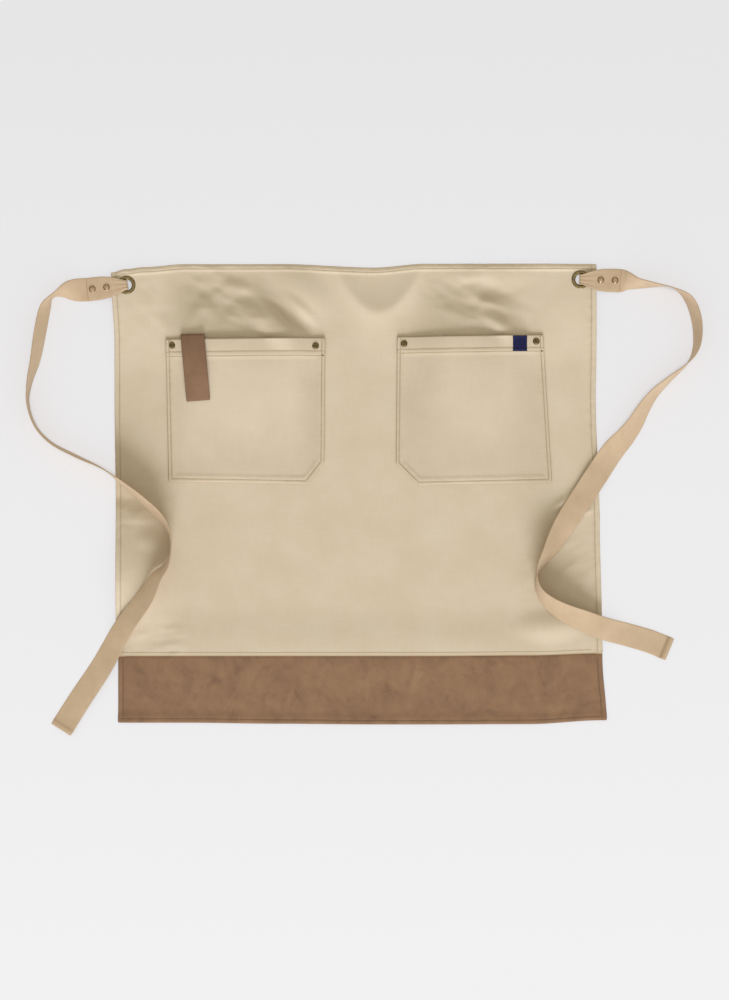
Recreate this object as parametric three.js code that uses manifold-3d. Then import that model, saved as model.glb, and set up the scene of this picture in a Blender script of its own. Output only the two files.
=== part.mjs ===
// Waist apron of cotton canvas, lying face up on a table: a hemmed panel with a leather band along its
// foot, two patch pockets with gaping mouths, and two webbing ties looped through brass eyelets.
// Millimetres. Seen from above, +X is to the right, +Y runs towards the waist and +Z points up.
// The origin lies on the underside of the panel, at the middle of the apron.
import * as THREE from 'three';
import { mergeVertices } from 'three/addons/utils/BufferGeometryUtils.js';
import Module from 'manifold-3d';

const wasm = await Module();
wasm.setup();
const { lerp, smoothstep, degToRad } = THREE.MathUtils;

// Layers of cloth and leather
const CANVAS = 1.2;
const HEM = 2.2;
const HEM_WIDTH = 7;
const HEM_STEP = 1.5;
const LEATHER = 1.6;
const GAP = 0.4; // clearance between two layers that lie on each other

// Panel and band
const APRON_WIDTH = 700;
const APRON_HEIGHT = 564; // canvas only, from the band's seam to the waist
const GRID_STEP = 28; // spacing of the cloth's grid away from its hems
const BAND_TUCK = 12; // how far the band reaches up behind the canvas
const BAND_RISE = 10; // length of the canvas's ramp above that tuck
const BAND_HEIGHT = 97;
const BAND_HEM = 9;

// The sides of the apron as it lies, by height
const SIDES = [
  { y: -325, left: -348, right: 355 },
  { y: -235, left: -348, right: 349 },
  { y: -187, left: -351, right: 348 },
  { y: -50, left: -351, right: 345 },
  { y: 140, left: -353, right: 339 },
  { y: 217, left: -353, right: 340 },
  { y: 320, left: -358, right: 340 },
];

// Its upper edge, the band's seam and its lower edge, by distance across
const ENDS = [
  { x: -356, waist: 320, seam: -232, foot: -327.5 },
  { x: -338, waist: 327, seam: -232, foot: -327.5 },
  { x: -310, waist: 328, seam: -232, foot: -327.5 },
  { x: -250, waist: 332, seam: -232, foot: -327.5 },
  { x: -110, waist: 332, seam: -232, foot: -329 },
  { x: 20, waist: 327, seam: -232, foot: -330 },
  { x: 95, waist: 332.5, seam: -232, foot: -330 },
  { x: 245, waist: 332.5, seam: -231, foot: -329.5 },
  { x: 346, waist: 332, seam: -228, foot: -324 },
];

// Folds of the canvas: oval swellings, with the turn of their long axis in degrees
const FOLDS = [
  { name: 'waist, middle', x: 30, y: 300, turn: 0, length: 115, width: 62, height: 9 },
  { name: 'waist, left of the middle', x: -88, y: 294, turn: -42, length: 80, width: 42, height: 7 },
  { name: 'waist, right', x: 185, y: 320, turn: 0, length: 85, width: 32, height: 4 },
  { name: 'left side, below the tie', x: -340, y: -50, turn: -6, length: 58, width: 34, height: 7 },
  { name: 'right side, beside the tie', x: 298, y: -18, turn: 45, length: 52, width: 32, height: 5 },
  { name: 'right side, under the tie', x: 275, y: -188, turn: 4, length: 66, width: 30, height: 5 },
];

// Pockets: corners as sewn, the bevelled lower corner, the gape of the mouth, the width that the rivets
// hold flat at its left and right ends, and the rivets' places
const POCKET_HEM = 20;
const POCKET_STEP = 17;
const POCKETS = {
  left: {
    upperLeft: [-279, 224], upperRight: [-50.5, 226.5], lowerLeft: [-275, 19.5], lowerRight: [-52, 16],
    bevel: { corner: 'lowerRight', across: 24, up: 31 }, gape: 22, held: [15, 19],
    rivets: [{ x: -269.5, y: 215 }, { x: -64, y: 214.5 }],
  },
  right: {
    upperLeft: [54, 227.5], upperRight: [263, 230.5], lowerLeft: [52, 14], lowerRight: [276, 18.5],
    bevel: { corner: 'lowerLeft', across: 31, up: 31 }, gape: 22, held: [15, 15],
    rivets: [{ x: 63.5, y: 217.5 }, { x: 253.5, y: 221 }],
  },
};

// Leather tab over the left pocket's mouth
const TAB = { across: 39, width: 33, above: 7, below: 88, inside: 36, lean: 0.073, bow: 3 };

// Label on the right pocket's hem, measured along the mouth and down from it
const LABEL = { across: 176, width: 20, down: 1, height: 22, thickness: 1 };

// Eyelets and rivets
const EYELETS = { left: { x: -336, y: 302, heading: 186.5 }, right: { x: 317.5, y: 310, heading: -1.5 } };
const EYELET = { hole: 7.8, wall: 0.8, flange: 13, backFlange: 12.5, back: 0.6, front: 1.1 };
const CORNER_LIFT = 4.3; // the upper corners lie on the gathered webbing
const CORNER_FLAT = 26;
const CORNER_REACH = 88;
const RIVET = { cap: 4.8, dome: 1.8, post: 1.6, back: 4, backThickness: 0.6 };
const RIVET_LIFT = { height: 1.4, reach: 55 }; // the canvas rides over the rivets' backs

// Ties
const WEBBING = { width: 32, thickness: 1.5, columns: 4 };
const GATHER = { width: 12.6, pleat: 0.55 }; // webbing squeezed through an eyelet's hole
const LOOP_TURN_STEPS = 6;
const TIE_RIVETS = [28.8, 49.5]; // distances out from the eyelet's centre
const TIE_STEPS_PER_ROW = 2.3;
const TIE_CLEARANCE = 0.9; // between a tie and the cloth that it lies on
const TIE_LEAD = 10; // a tie is up on the apron this far before it crosses the edge

// The doubled end of a tie, by distance out from the eyelet: heights of the middles of its upper and
// lower layers, and how far it is gathered
const LOOP = [
  { out: 2.2, over: 8.7, under: 1.65, gather: 1 },
  { out: 13, over: 8.7, under: 1.65, gather: 0.8 },
  { out: 22.5, over: 7.9, under: 2.8, gather: 0.5 },
  { out: 24, over: 6.4, under: 4.15, gather: 0.35 },
  { out: 33, over: 6.2, under: 4.2, gather: 0.2 },
  { out: 44, over: 3.9, under: 2.05, gather: 0 },
  { out: 54, over: 3.6, under: 1.75, gather: 0 },
  { out: 57, over: 3.55, under: 1.7, gather: 0 },
];

// The free length of each tie. Tilt is the turn of the webbing about its own length, in degrees: at 0 it
// lies flat, at 90 it stands on edge and past 90 it shows its other face.
const TAILS = {
  left: [
    { x: -405, y: 295, tilt: 12 },
    { x: -418, y: 294, tilt: 36 },
    { x: -430, y: 291, tilt: 62 },
    { x: -443, y: 285, tilt: 80 },
    { x: -452, y: 272, tilt: 58 },
    { x: -460, y: 240, tilt: 54 },
    { x: -468, y: 194, tilt: 63 },
    { x: -476, y: 160, tilt: 81 },
    { x: -477, y: 132, tilt: 86 },
    { x: -466, y: 99, tilt: 81 },
    { x: -445, y: 76, tilt: 80 },
    { x: -408, y: 56, tilt: 78 },
    { x: -372, y: 39, tilt: 86 },
    { x: -349, y: 23, tilt: 91 },
    { x: -315, y: -5, tilt: 103 },
    { x: -286, y: -33, tilt: 112 },
    { x: -274, y: -54, tilt: 105 },
    { x: -272, y: -80, tilt: 97 },
    { x: -279, y: -102, tilt: 110 },
    { x: -292, y: -117, tilt: 122 },
    { x: -309, y: -148, tilt: 140 },
    { x: -339, y: -189, tilt: 150 },
    { x: -372, y: -247, tilt: 162 },
    { x: -405, y: -297, tilt: 170 },
    { x: -430, y: -337, tilt: 176 },
  ],
  right: [
    { x: 385, y: 307, tilt: 38 },
    { x: 398, y: 304, tilt: 62 },
    { x: 420, y: 302, tilt: 73 },
    { x: 448, y: 298.5, tilt: 86 },
    { x: 469, y: 287, tilt: 70 },
    { x: 479, y: 273, tilt: 66 },
    { x: 486, y: 245, tilt: 65 },
    { x: 484, y: 212, tilt: 70 },
    { x: 474, y: 191, tilt: 73 },
    { x: 447, y: 165, tilt: 72 },
    { x: 430, y: 146, tilt: 68 },
    { x: 414, y: 125, tilt: 63 },
    { x: 399, y: 102, tilt: 57 },
    { x: 382, y: 83, tilt: 42 },
    { x: 365, y: 65, tilt: 24 },
    { x: 340, y: 28, tilt: 2 },
    { x: 316, y: -9, tilt: -10 },
    { x: 294, y: -43, tilt: -25 },
    { x: 274, y: -77, tilt: -54 },
    { x: 257, y: -106, tilt: -80 },
    { x: 254, y: -120, tilt: -92 },
    { x: 257, y: -136, tilt: -103 },
    { x: 269, y: -152, tilt: -114 },
    { x: 292, y: -168, tilt: -123 },
    { x: 322, y: -181, tilt: -130 },
    { x: 351, y: -192, tilt: -140 },
    { x: 388, y: -202, tilt: -146 },
    { x: 418, y: -211, tilt: -150 },
    { x: 445, y: -222, tilt: -154 },
  ],
};

// Finishes
const FINISHES = {
  canvas: { color: '#d2c2a8', roughness: 0.95, metalness: 0 },
  suede: { color: '#937358', roughness: 0.9, metalness: 0 },
  leather: { color: '#876951', roughness: 0.85, metalness: 0 },
  webbing: { color: '#c5ae92', roughness: 0.95, metalness: 0 },
  label: { color: '#2a2c50', roughness: 0.8, metalness: 0 },
  darkBrass: { color: '#6b5a34', roughness: 0.4, metalness: 0.9 },
  lightBrass: { color: '#b59a7c', roughness: 0.35, metalness: 0.9 },
};

const apron = new THREE.Group();

function addPart(name, geometry, finish) {
  const mesh = new THREE.Mesh(geometry, new THREE.MeshStandardMaterial(FINISHES[finish]));
  mesh.name = name;
  apron.add(mesh);
}

// One column of a table, read smoothly at a place along another column whose values rise
function readTable(rows, along, column, at) {
  const next = rows.findIndex((row) => row[along] > at);
  if (next === 0) return rows[0][column];
  if (next < 0) return rows[rows.length - 1][column];
  const before = rows[next - 1];
  const after = rows[next];
  return lerp(before[column], after[column], smoothstep(at, before[along], after[along]));
}

// Shares from 0 to 1 of a length, with fixed stops near both ends and even steps between them
function gridLines(length, startStops, endStops, step) {
  const first = startStops[startStops.length - 1];
  const last = length - endStops[endStops.length - 1];
  const count = Math.round((last - first) / step);
  const between = Array.from({ length: count - 1 }, (_, i) => lerp(first, last, (i + 1) / count));
  const ending = endStops.map((stop) => length - stop).reverse();
  return [...startStops, ...between, ...ending].map((place) => place / length);
}

const evenLines = (count) => Array.from({ length: count + 1 }, (_, i) => i / count);

// Turns the faces of a closed geometry outwards
function facingOut(geometry) {
  const place = geometry.attributes.position;
  const index = geometry.index.array;
  const [a, b, c] = [new THREE.Vector3(), new THREE.Vector3(), new THREE.Vector3()];
  let volume = 0;
  for (let i = 0; i < index.length; i += 3) {
    a.fromBufferAttribute(place, index[i]);
    b.fromBufferAttribute(place, index[i + 1]);
    c.fromBufferAttribute(place, index[i + 2]);
    volume += a.dot(b.cross(c));
  }
  if (volume < 0) {
    for (let i = 0; i < index.length; i += 3) [index[i], index[i + 1]] = [index[i + 1], index[i]];
  }
  geometry.computeVertexNormals();
  return geometry;
}

// A closed sheet over a grid of columns and rows. layAt gives the middle of the sheet at a grid point,
// its normal and its thickness.
function sheet(columns, rows, layAt) {
  const points = [];
  const faces = [];
  const stride = columns.length;
  const layer = stride * rows.length;
  for (const side of [0.5, -0.5]) {
    for (const row of rows) {
      for (const column of columns) {
        const { middle, normal, thickness } = layAt(column, row);
        points.push(...middle.clone().addScaledVector(normal, side * thickness));
      }
    }
  }
  const quad = (a, b, c, d) => faces.push(a, b, c, a, c, d);
  for (let j = 0; j < rows.length - 1; j += 1) {
    for (let i = 0; i < stride - 1; i += 1) {
      const at = j * stride + i;
      quad(at, at + 1, at + stride + 1, at + stride);
      quad(layer + at, layer + at + stride, layer + at + stride + 1, layer + at + 1);
    }
  }
  const rim = [];
  for (let i = 0; i < stride - 1; i += 1) rim.push(i);
  for (let j = 0; j < rows.length - 1; j += 1) rim.push(j * stride + stride - 1);
  for (let i = stride - 1; i > 0; i -= 1) rim.push((rows.length - 1) * stride + i);
  for (let j = rows.length - 1; j > 0; j -= 1) rim.push(j * stride);
  rim.forEach((at, i) => {
    const next = rim[(i + 1) % rim.length];
    quad(next, at, layer + at, layer + next);
  });
  const geometry = new THREE.BufferGeometry();
  geometry.setAttribute('position', new THREE.Float32BufferAttribute(points, 3));
  geometry.setIndex(faces);
  return facingOut(geometry);
}

function toSolid(geometry) {
  const bare = geometry.clone();
  bare.deleteAttribute('normal');
  bare.deleteAttribute('uv');
  const merged = mergeVertices(bare);
  return new wasm.Manifold(new wasm.Mesh({
    numProp: 3,
    vertProperties: new Float32Array(merged.attributes.position.array),
    triVerts: new Uint32Array(merged.index.array),
  }));
}

// A geometry with other closed geometries cut out of it
function cut(geometry, cutters) {
  const solid = cutters.reduce((left, cutter) => left.subtract(toSolid(cutter)), toSolid(geometry));
  const { vertProperties, triVerts } = solid.getMesh();
  const result = new THREE.BufferGeometry();
  result.setAttribute('position', new THREE.BufferAttribute(vertProperties, 3));
  result.setIndex(new THREE.BufferAttribute(triVerts, 1));
  result.computeVertexNormals();
  return result;
}

const CUTTER_HEIGHT = 60;

function roundCutter(x, y, radius, sides) {
  const cutter = new THREE.CylinderGeometry(radius, radius, CUTTER_HEIGHT, sides);
  return cutter.rotateX(Math.PI / 2).translate(x, y, 0);
}

const rivetHole = ({ x, y }) => roundCutter(x, y, RIVET.post + GAP, 10);

// The lie of the panel

const UP = new THREE.Vector3(0, 0, 1);
const leftEdge = (y) => readTable(SIDES, 'y', 'left', y);
const rightEdge = (y) => readTable(SIDES, 'y', 'right', y);
const endEdge = (edge, x) => readTable(ENDS, 'x', edge, x);
const bell = (share) => (share >= 1 ? 0 : (1 + Math.cos(Math.PI * share)) / 2);
const shelf = (distance) => 1 - smoothstep(Math.abs(distance), CORNER_FLAT, CORNER_REACH);
const pocketRivets = [...POCKETS.left.rivets, ...POCKETS.right.rivets];

function foldHeight(fold, x, y) {
  const turn = degToRad(fold.turn);
  const along = (x - fold.x) * Math.cos(turn) + (y - fold.y) * Math.sin(turn);
  const across = (y - fold.y) * Math.cos(turn) - (x - fold.x) * Math.sin(turn);
  return fold.height * bell(Math.hypot(along / fold.length, across / fold.width));
}

// Height of the panel's underside above the table
function panelUnder(x, y) {
  const folds = FOLDS.map((fold) => foldHeight(fold, x, y));
  const rivets = pocketRivets.map(
    (rivet) => RIVET_LIFT.height * bell(Math.hypot(x - rivet.x, y - rivet.y) / RIVET_LIFT.reach),
  );
  const corners = Object.values(EYELETS).map(
    (eyelet) => CORNER_LIFT * shelf(x - eyelet.x) * shelf(y - eyelet.y),
  );
  const aboveSeam = y - endEdge('seam', x);
  const overBand = (LEATHER + GAP) * (1 - smoothstep(aboveSeam, BAND_TUCK + 2, BAND_TUCK + BAND_RISE));
  return [...folds, ...rivets, ...corners, overBand].reduce((sum, height) => sum + height, 0);
}

// Distance in from the nearest hemmed edge of the panel
const insetAt = (x, y) => Math.min(x - leftEdge(y), rightEdge(y) - x, endEdge('waist', x) - y);
const panelThickness = (x, y, reach) => (insetAt(x, y) < reach ? HEM : CANVAS);

// A point of the flat pattern, in shares across and up from one edge to another, as it lies
function layFlat(across, up, lowerEdge, upperEdge) {
  const acrossAt = (height) => lerp(leftEdge(height), rightEdge(height), across);
  const upAt = (place) => lerp(lowerEdge(place), upperEdge(place), up);
  const y = upAt(acrossAt(upAt(0)));
  return { x: acrossAt(y), y };
}

const HEM_STOPS = [0, HEM_WIDTH, HEM_WIDTH + HEM_STEP];

function makePanel() {
  const columns = gridLines(APRON_WIDTH, [...HEM_STOPS, 46], [...HEM_STOPS, 46], GRID_STEP);
  const rows = gridLines(APRON_HEIGHT, [0, BAND_TUCK + 2, BAND_TUCK + BAND_RISE], [...HEM_STOPS, 58], GRID_STEP);
  const geometry = sheet(columns, rows, (across, up) => {
    const { x, y } = layFlat(across, up, (at) => endEdge('seam', at), (at) => endEdge('waist', at));
    const thickness = panelThickness(x, y, HEM_WIDTH + HEM_STEP / 2);
    return { middle: new THREE.Vector3(x, y, panelUnder(x, y) + thickness / 2), normal: UP, thickness };
  });
  const eyeletHole = EYELET.hole + EYELET.wall + GAP;
  const eyeletCutters = Object.values(EYELETS).map(({ x, y }) => roundCutter(x, y, eyeletHole, 20));
  return cut(geometry, [...pocketRivets.map(rivetHole), ...eyeletCutters]);
}

function makeBand() {
  const columns = evenLines(16);
  const rows = gridLines(BAND_HEIGHT + BAND_TUCK, [0, BAND_HEM, BAND_HEM + HEM_STEP], [0, BAND_TUCK], 30);
  return sheet(columns, rows, (across, up) => {
    const { x, y } = layFlat(across, up, (at) => endEdge('foot', at), (at) => endEdge('seam', at) + BAND_TUCK);
    const thickness = up * (BAND_HEIGHT + BAND_TUCK) < BAND_HEM + HEM_STEP / 2 ? 2 * LEATHER : LEATHER;
    return { middle: new THREE.Vector3(x, y, thickness / 2), normal: UP, thickness };
  });
}

// Pockets

function pocketSize(pocket) {
  const width = new THREE.Vector2(...pocket.upperLeft).distanceTo(new THREE.Vector2(...pocket.upperRight));
  const height = new THREE.Vector2(...pocket.upperLeft).distanceTo(new THREE.Vector2(...pocket.lowerLeft));
  return { width, height };
}

// How far a pocket stands off the panel, at shares of its width and of its height up to the mouth
function pocketSwell(pocket, across, up) {
  const { width } = pocketSize(pocket);
  const [left, right] = pocket.held;
  const share = (across * width - left) / (width - left - right);
  const arch = share <= 0 || share >= 1 ? 0 : Math.sin(Math.PI * share);
  return pocket.gape * arch * Math.sin((Math.PI / 2) * Math.min(up, 1));
}

// A point on the underside of a pocket. Above the mouth it runs on level with the mouth's edge.
function pocketUnder(pocket, across, up) {
  const lower = new THREE.Vector2(...pocket.lowerLeft).lerp(new THREE.Vector2(...pocket.lowerRight), across);
  const upper = new THREE.Vector2(...pocket.upperLeft).lerp(new THREE.Vector2(...pocket.upperRight), across);
  const mouth = lower.clone().lerp(upper, Math.min(up, 1));
  const place = lower.lerp(upper, up);
  const height = panelUnder(mouth.x, mouth.y) + CANVAS + GAP + pocketSwell(pocket, across, up);
  return new THREE.Vector3(place.x, place.y, height);
}

function bevelCutter(pocket) {
  const { corner, across, up } = pocket.bevel;
  const [x, y] = pocket[corner];
  const inward = corner === 'lowerLeft' ? 1 : -1;
  const past = 10;
  const triangle = new THREE.Shape([
    new THREE.Vector2(x + inward * across + (inward * past * across) / up, y - past),
    new THREE.Vector2(x - (inward * past * across) / up, y + up + past),
    new THREE.Vector2(x - inward * 2 * past, y - past),
  ]);
  return new THREE.ExtrudeGeometry(triangle, { depth: CUTTER_HEIGHT, bevelEnabled: false });
}

function makePocket(pocket) {
  const { width, height } = pocketSize(pocket);
  const columns = gridLines(width, [0, pocket.held[0]], [0, pocket.held[1]], POCKET_STEP);
  const rows = gridLines(height, [0], [0, POCKET_HEM, POCKET_HEM + HEM_STEP], POCKET_STEP);
  const geometry = sheet(columns, rows, (across, up) => {
    const thickness = (1 - up) * height < POCKET_HEM + HEM_STEP / 2 ? HEM : CANVAS;
    const middle = pocketUnder(pocket, across, up).addScaledVector(UP, thickness / 2);
    return { middle, normal: UP, thickness };
  });
  return cut(geometry, [bevelCutter(pocket), ...pocket.rivets.map(rivetHole)]);
}

// The tab runs up behind the pocket's hem, turns over the mouth and hangs down in front
function makeTab() {
  const pocket = POCKETS.left;
  const { width, height } = pocketSize(pocket);
  const radius = HEM / 2 + GAP + LEATHER / 2;
  const crest = TAB.above - radius - LEATHER / 2;
  const inside = [0, 1, 2].map((i) => ({ down: lerp(TAB.inside, -crest, i / 3), angle: -90, bow: 0 }));
  const turn = evenLines(6).map((share) => ({ down: -crest, angle: lerp(-90, 90, share), bow: 0 }));
  const front = evenLines(8).slice(1).map((share) => (
    { down: lerp(-crest, TAB.below, share), angle: 90, bow: TAB.bow * Math.sin(Math.PI * share) }
  ));
  return sheet(evenLines(4), [...inside, ...turn, ...front], (share, station) => {
    const angle = degToRad(station.angle);
    const normal = new THREE.Vector3(0, Math.cos(angle), Math.sin(angle));
    const across = (TAB.across + (share - 0.5) * TAB.width + station.down * TAB.lean) / width;
    const middle = pocketUnder(pocket, across, 1 - station.down / height);
    middle.z += HEM / 2 + station.bow;
    return { middle: middle.addScaledVector(normal, radius), normal, thickness: LEATHER };
  });
}

function makeLabel() {
  const pocket = POCKETS.right;
  const { width, height } = pocketSize(pocket);
  return sheet(evenLines(3), evenLines(3), (share, rise) => {
    const across = (LABEL.across + (share - 0.5) * LABEL.width) / width;
    const down = LABEL.down + (1 - rise) * LABEL.height;
    const middle = pocketUnder(pocket, across, 1 - down / height);
    middle.z += HEM + GAP + LABEL.thickness / 2;
    return { middle, normal: UP, thickness: LABEL.thickness };
  });
}

// Metal fittings

function lathe(profile, sides, x, y) {
  const points = profile.map(([radius, height]) => new THREE.Vector2(radius, height));
  return new THREE.LatheGeometry(points, sides).rotateX(Math.PI / 2).translate(x, y, 0);
}

// A rivet that holds layers between two heights
function makeRivet(x, y, lowest, highest) {
  const seat = highest + GAP;
  const backTop = lowest - GAP;
  const backFoot = backTop - RIVET.backThickness;
  return lathe([
    [0, backFoot], [RIVET.back, backFoot], [RIVET.back, backTop], [RIVET.post, backTop],
    [RIVET.post, seat], [RIVET.cap, seat], [0.94 * RIVET.cap, seat + 0.5 * RIVET.dome],
    [0.6 * RIVET.cap, seat + 0.88 * RIVET.dome], [0, seat + RIVET.dome],
  ], 12, x, y);
}

function makeEyelet({ x, y }) {
  const backTop = panelUnder(x, y) - GAP;
  const backFoot = backTop - EYELET.back;
  const seat = panelUnder(x, y) + CANVAS + GAP;
  const barrel = EYELET.hole + EYELET.wall;
  const crown = (EYELET.hole + EYELET.flange) / 2;
  const profile = [
    [EYELET.hole, backFoot], [EYELET.backFlange, backFoot], [EYELET.backFlange, backTop],
    [barrel, backTop], [barrel, seat], [EYELET.flange, seat], [EYELET.flange - 0.4, seat + 0.6 * EYELET.front],
    [crown, seat + EYELET.front], [EYELET.hole + 0.4, seat + 0.6 * EYELET.front], [EYELET.hole, seat],
  ];
  return lathe([...profile, profile[0]], 20, x, y);
}

// Ties

// Height of what lies under a tie at a place
function tieBed(x, y) {
  const onApron = x > leftEdge(y) - TIE_LEAD && x < rightEdge(y) + TIE_LEAD && y < endEdge('waist', x);
  if (!onApron || y < endEdge('foot', x)) return 0;
  if (y < endEdge('seam', x)) return 2 * LEATHER + TIE_CLEARANCE;
  return panelUnder(x, y) + panelThickness(x, y, 2 * HEM_WIDTH) + TIE_CLEARANCE;
}

// Sections of the doubled end: in over the panel's corner, down through the eyelet and back out below
function loopSections({ x, y, heading }) {
  const out = new THREE.Vector3(Math.cos(degToRad(heading)), Math.sin(degToRad(heading)), 0);
  const across = out.x < 0 ? new THREE.Vector3(-out.y, out.x, 0).negate() : new THREE.Vector3(-out.y, out.x, 0);
  const section = (distance, height, gather) => ({
    centre: new THREE.Vector3(x, y, height).addScaledVector(out, distance), across, gather,
  });
  const inner = LOOP[0];
  const radius = (inner.over - inner.under) / 2;
  const turn = evenLines(LOOP_TURN_STEPS).slice(1, -1).map((share) => section(
    inner.out - radius * Math.sin(Math.PI * share),
    inner.under + radius + radius * Math.cos(Math.PI * share),
    inner.gather,
  ));
  const over = LOOP.map((row) => section(row.out, row.over, row.gather)).reverse();
  const under = LOOP.map((row) => section(row.out, row.under, row.gather));
  return [...over, ...turn, ...under];
}

// Sections of the free length, laid on whatever is under it
function tailSections(start, rows, hand) {
  const stations = [{ x: start.x, y: start.y, tilt: 0 }, ...rows];
  const curve = new THREE.CatmullRomCurve3(stations.map(({ x, y }) => new THREE.Vector3(x, y, 0)));
  const count = Math.round(rows.length * TIE_STEPS_PER_ROW);
  const sections = evenLines(count).slice(1).map((share) => {
    const centre = curve.getPoint(share);
    const heading = curve.getTangent(share);
    const place = Math.min(share * rows.length, rows.length - 1e-6);
    const row = Math.floor(place);
    const tilt = degToRad(lerp(stations[row].tilt, stations[row + 1].tilt, place - row));
    const sideways = new THREE.Vector3(-heading.y, heading.x, 0).multiplyScalar(-hand);
    const across = sideways.multiplyScalar(Math.cos(tilt)).addScaledVector(UP, Math.sin(tilt));
    return { centre, across, gather: 0, half: (WEBBING.thickness / 2) * Math.abs(Math.cos(tilt)) };
  });
  const needed = sections.map(({ centre, across, half }) => Math.max(...evenLines(4).map((share) => {
    const reach = (share - 0.5) * WEBBING.width;
    const bed = tieBed(centre.x + across.x * reach, centre.y + across.y * reach);
    return bed + half - across.z * reach;
  })));
  const highestNear = needed.map((_, i) => Math.max(...needed.slice(Math.max(i - 1, 0), i + 2)));
  sections.forEach(({ centre }, i) => {
    const near = highestNear.slice(Math.max(i - 1, 0), i + 2);
    centre.z = near.reduce((sum, height) => sum + height, 0) / near.length;
  });
  return sections;
}

function makeTie(side) {
  const loop = loopSections(EYELETS[side]);
  const hand = side === 'left' ? 1 : -1;
  const sections = [...loop, ...tailSections(loop[loop.length - 1].centre, TAILS[side], hand)];
  const stations = sections.map((section, i) => {
    const before = sections[Math.max(i - 1, 0)].centre;
    const after = sections[Math.min(i + 1, sections.length - 1)].centre;
    const along = after.clone().sub(before);
    return { ...section, normal: along.cross(section.across).normalize() };
  });
  const columns = evenLines(WEBBING.columns).map((share, i) => (
    { share, pleat: i % WEBBING.columns === 0 ? 0 : (-1) ** i }
  ));
  const geometry = sheet(columns, stations, ({ share, pleat }, station) => {
    const { centre, across, normal, gather } = station;
    const width = lerp(WEBBING.width, GATHER.width, gather);
    const middle = centre.clone().addScaledVector(across, (share - 0.5) * width);
    middle.addScaledVector(normal, pleat * GATHER.pleat * gather);
    return { middle, normal, thickness: WEBBING.thickness };
  });
  return cut(geometry, tieRivetPlaces(EYELETS[side]).map(rivetHole));
}

// Places of a tie's two rivets, with the heights between which each one holds the webbing
function tieRivetPlaces({ x, y, heading }) {
  return TIE_RIVETS.map((distance) => {
    const next = LOOP.findIndex((row) => row.out > distance);
    const rows = [LOOP[next - 1], LOOP[next]];
    const share = (distance - rows[0].out) / (rows[1].out - rows[0].out);
    const swell = WEBBING.thickness / 2 + GATHER.pleat * rows[0].gather;
    const tiltRoom = 0.5 * RIVET.cap * (Math.abs(rows[1].over - rows[0].over) / (rows[1].out - rows[0].out));
    return {
      x: x + distance * Math.cos(degToRad(heading)),
      y: y + distance * Math.sin(degToRad(heading)),
      lowest: lerp(rows[0].under, rows[1].under, share) - swell - tiltRoom,
      highest: lerp(rows[0].over, rows[1].over, share) + swell + tiltRoom,
    };
  });
}

// Assembly

addPart('panel', makePanel(), 'canvas');
addPart('hem_band', makeBand(), 'suede');
addPart('pocket_left', makePocket(POCKETS.left), 'canvas');
addPart('pocket_right', makePocket(POCKETS.right), 'canvas');
addPart('leather_tab', makeTab(), 'leather');
addPart('label', makeLabel(), 'label');
for (const side of ['left', 'right']) {
  addPart(`eyelet_${side}`, makeEyelet(EYELETS[side]), 'darkBrass');
  addPart(`tie_${side}`, makeTie(side), 'webbing');
}
pocketRivets.forEach(({ x, y }, i) => {
  const lowest = panelUnder(x, y);
  const highest = lowest + CANVAS + GAP + HEM;
  addPart(`pocket_rivet_${i + 1}`, makeRivet(x, y, lowest, highest), 'darkBrass');
});
const tieRivets = [...tieRivetPlaces(EYELETS.left), ...tieRivetPlaces(EYELETS.right)];
tieRivets.forEach(({ x, y, lowest, highest }, i) => {
  addPart(`tie_rivet_${i + 1}`, makeRivet(x, y, lowest, highest), 'lightBrass');
});

export default apron;
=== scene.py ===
"""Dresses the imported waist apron: canvas, suede band, leather tab, label, webbing ties and fittings.

Sizes are written in millimetres, as a maker writes them, and turned to metres when a mesh is made.
Seen from above, +X is to the right, +Y runs towards the waist and +Z points up.
"""

import logging
import math
from dataclasses import dataclass
from enum import Enum
from typing import Any, Callable, NamedTuple, Sequence

import bpy
import numpy as np
from mathutils import Matrix, Vector, noise


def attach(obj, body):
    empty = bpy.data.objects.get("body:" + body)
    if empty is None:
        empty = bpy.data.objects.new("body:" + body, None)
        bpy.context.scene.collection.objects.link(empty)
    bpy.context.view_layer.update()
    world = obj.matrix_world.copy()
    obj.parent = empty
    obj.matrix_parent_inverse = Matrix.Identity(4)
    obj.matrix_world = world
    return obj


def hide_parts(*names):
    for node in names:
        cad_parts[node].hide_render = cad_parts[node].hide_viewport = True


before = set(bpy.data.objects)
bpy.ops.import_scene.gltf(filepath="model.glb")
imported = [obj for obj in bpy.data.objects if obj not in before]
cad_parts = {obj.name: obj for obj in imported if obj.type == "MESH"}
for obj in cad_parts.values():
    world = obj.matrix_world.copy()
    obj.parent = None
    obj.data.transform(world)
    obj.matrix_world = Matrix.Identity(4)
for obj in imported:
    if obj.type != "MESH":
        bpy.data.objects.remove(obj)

# Short names of types
Array = np.ndarray
Piece = bpy.types.Object
Tree = bpy.types.NodeTree
Socket = bpy.types.NodeSocket
Sockets = tuple[Socket, Socket]

LOG = logging.getLogger("apron")
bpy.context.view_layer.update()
BODY = "root"
MM = 0.001
UP = np.array([0.0, 0.0, 1.0])
PATTERN_MAP = "pattern"
TARNISH_MARK = "tarnish"
# The mark of how far stitching pinches cloth, which also sets the painted shade in its grooves and along rims
PAINTED_SHADE_MARK = "pinch_and_shade"

# How firmly thread draws cloth in, how much that changes along a line, and over what length
EVEN_PULL = 0.6
PULL_CHANGE = 0.4
PULL_SIZE = 24.0
PULL_SEED = 7.7

# How high the wrinkles of a crumpled patch stand, and the finer ones on them
WRINKLE = 0.5
FINER_WRINKLE = 0.15


# Small sums that the pieces share


def smoothstep(at: Array, low: Any, high: Any) -> Array:
    """Rises smoothly from 0 at low to 1 at high."""
    share = np.clip((at - low) / (high - low), 0.0, 1.0)
    return share * share * (3.0 - 2.0 * share)


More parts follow.
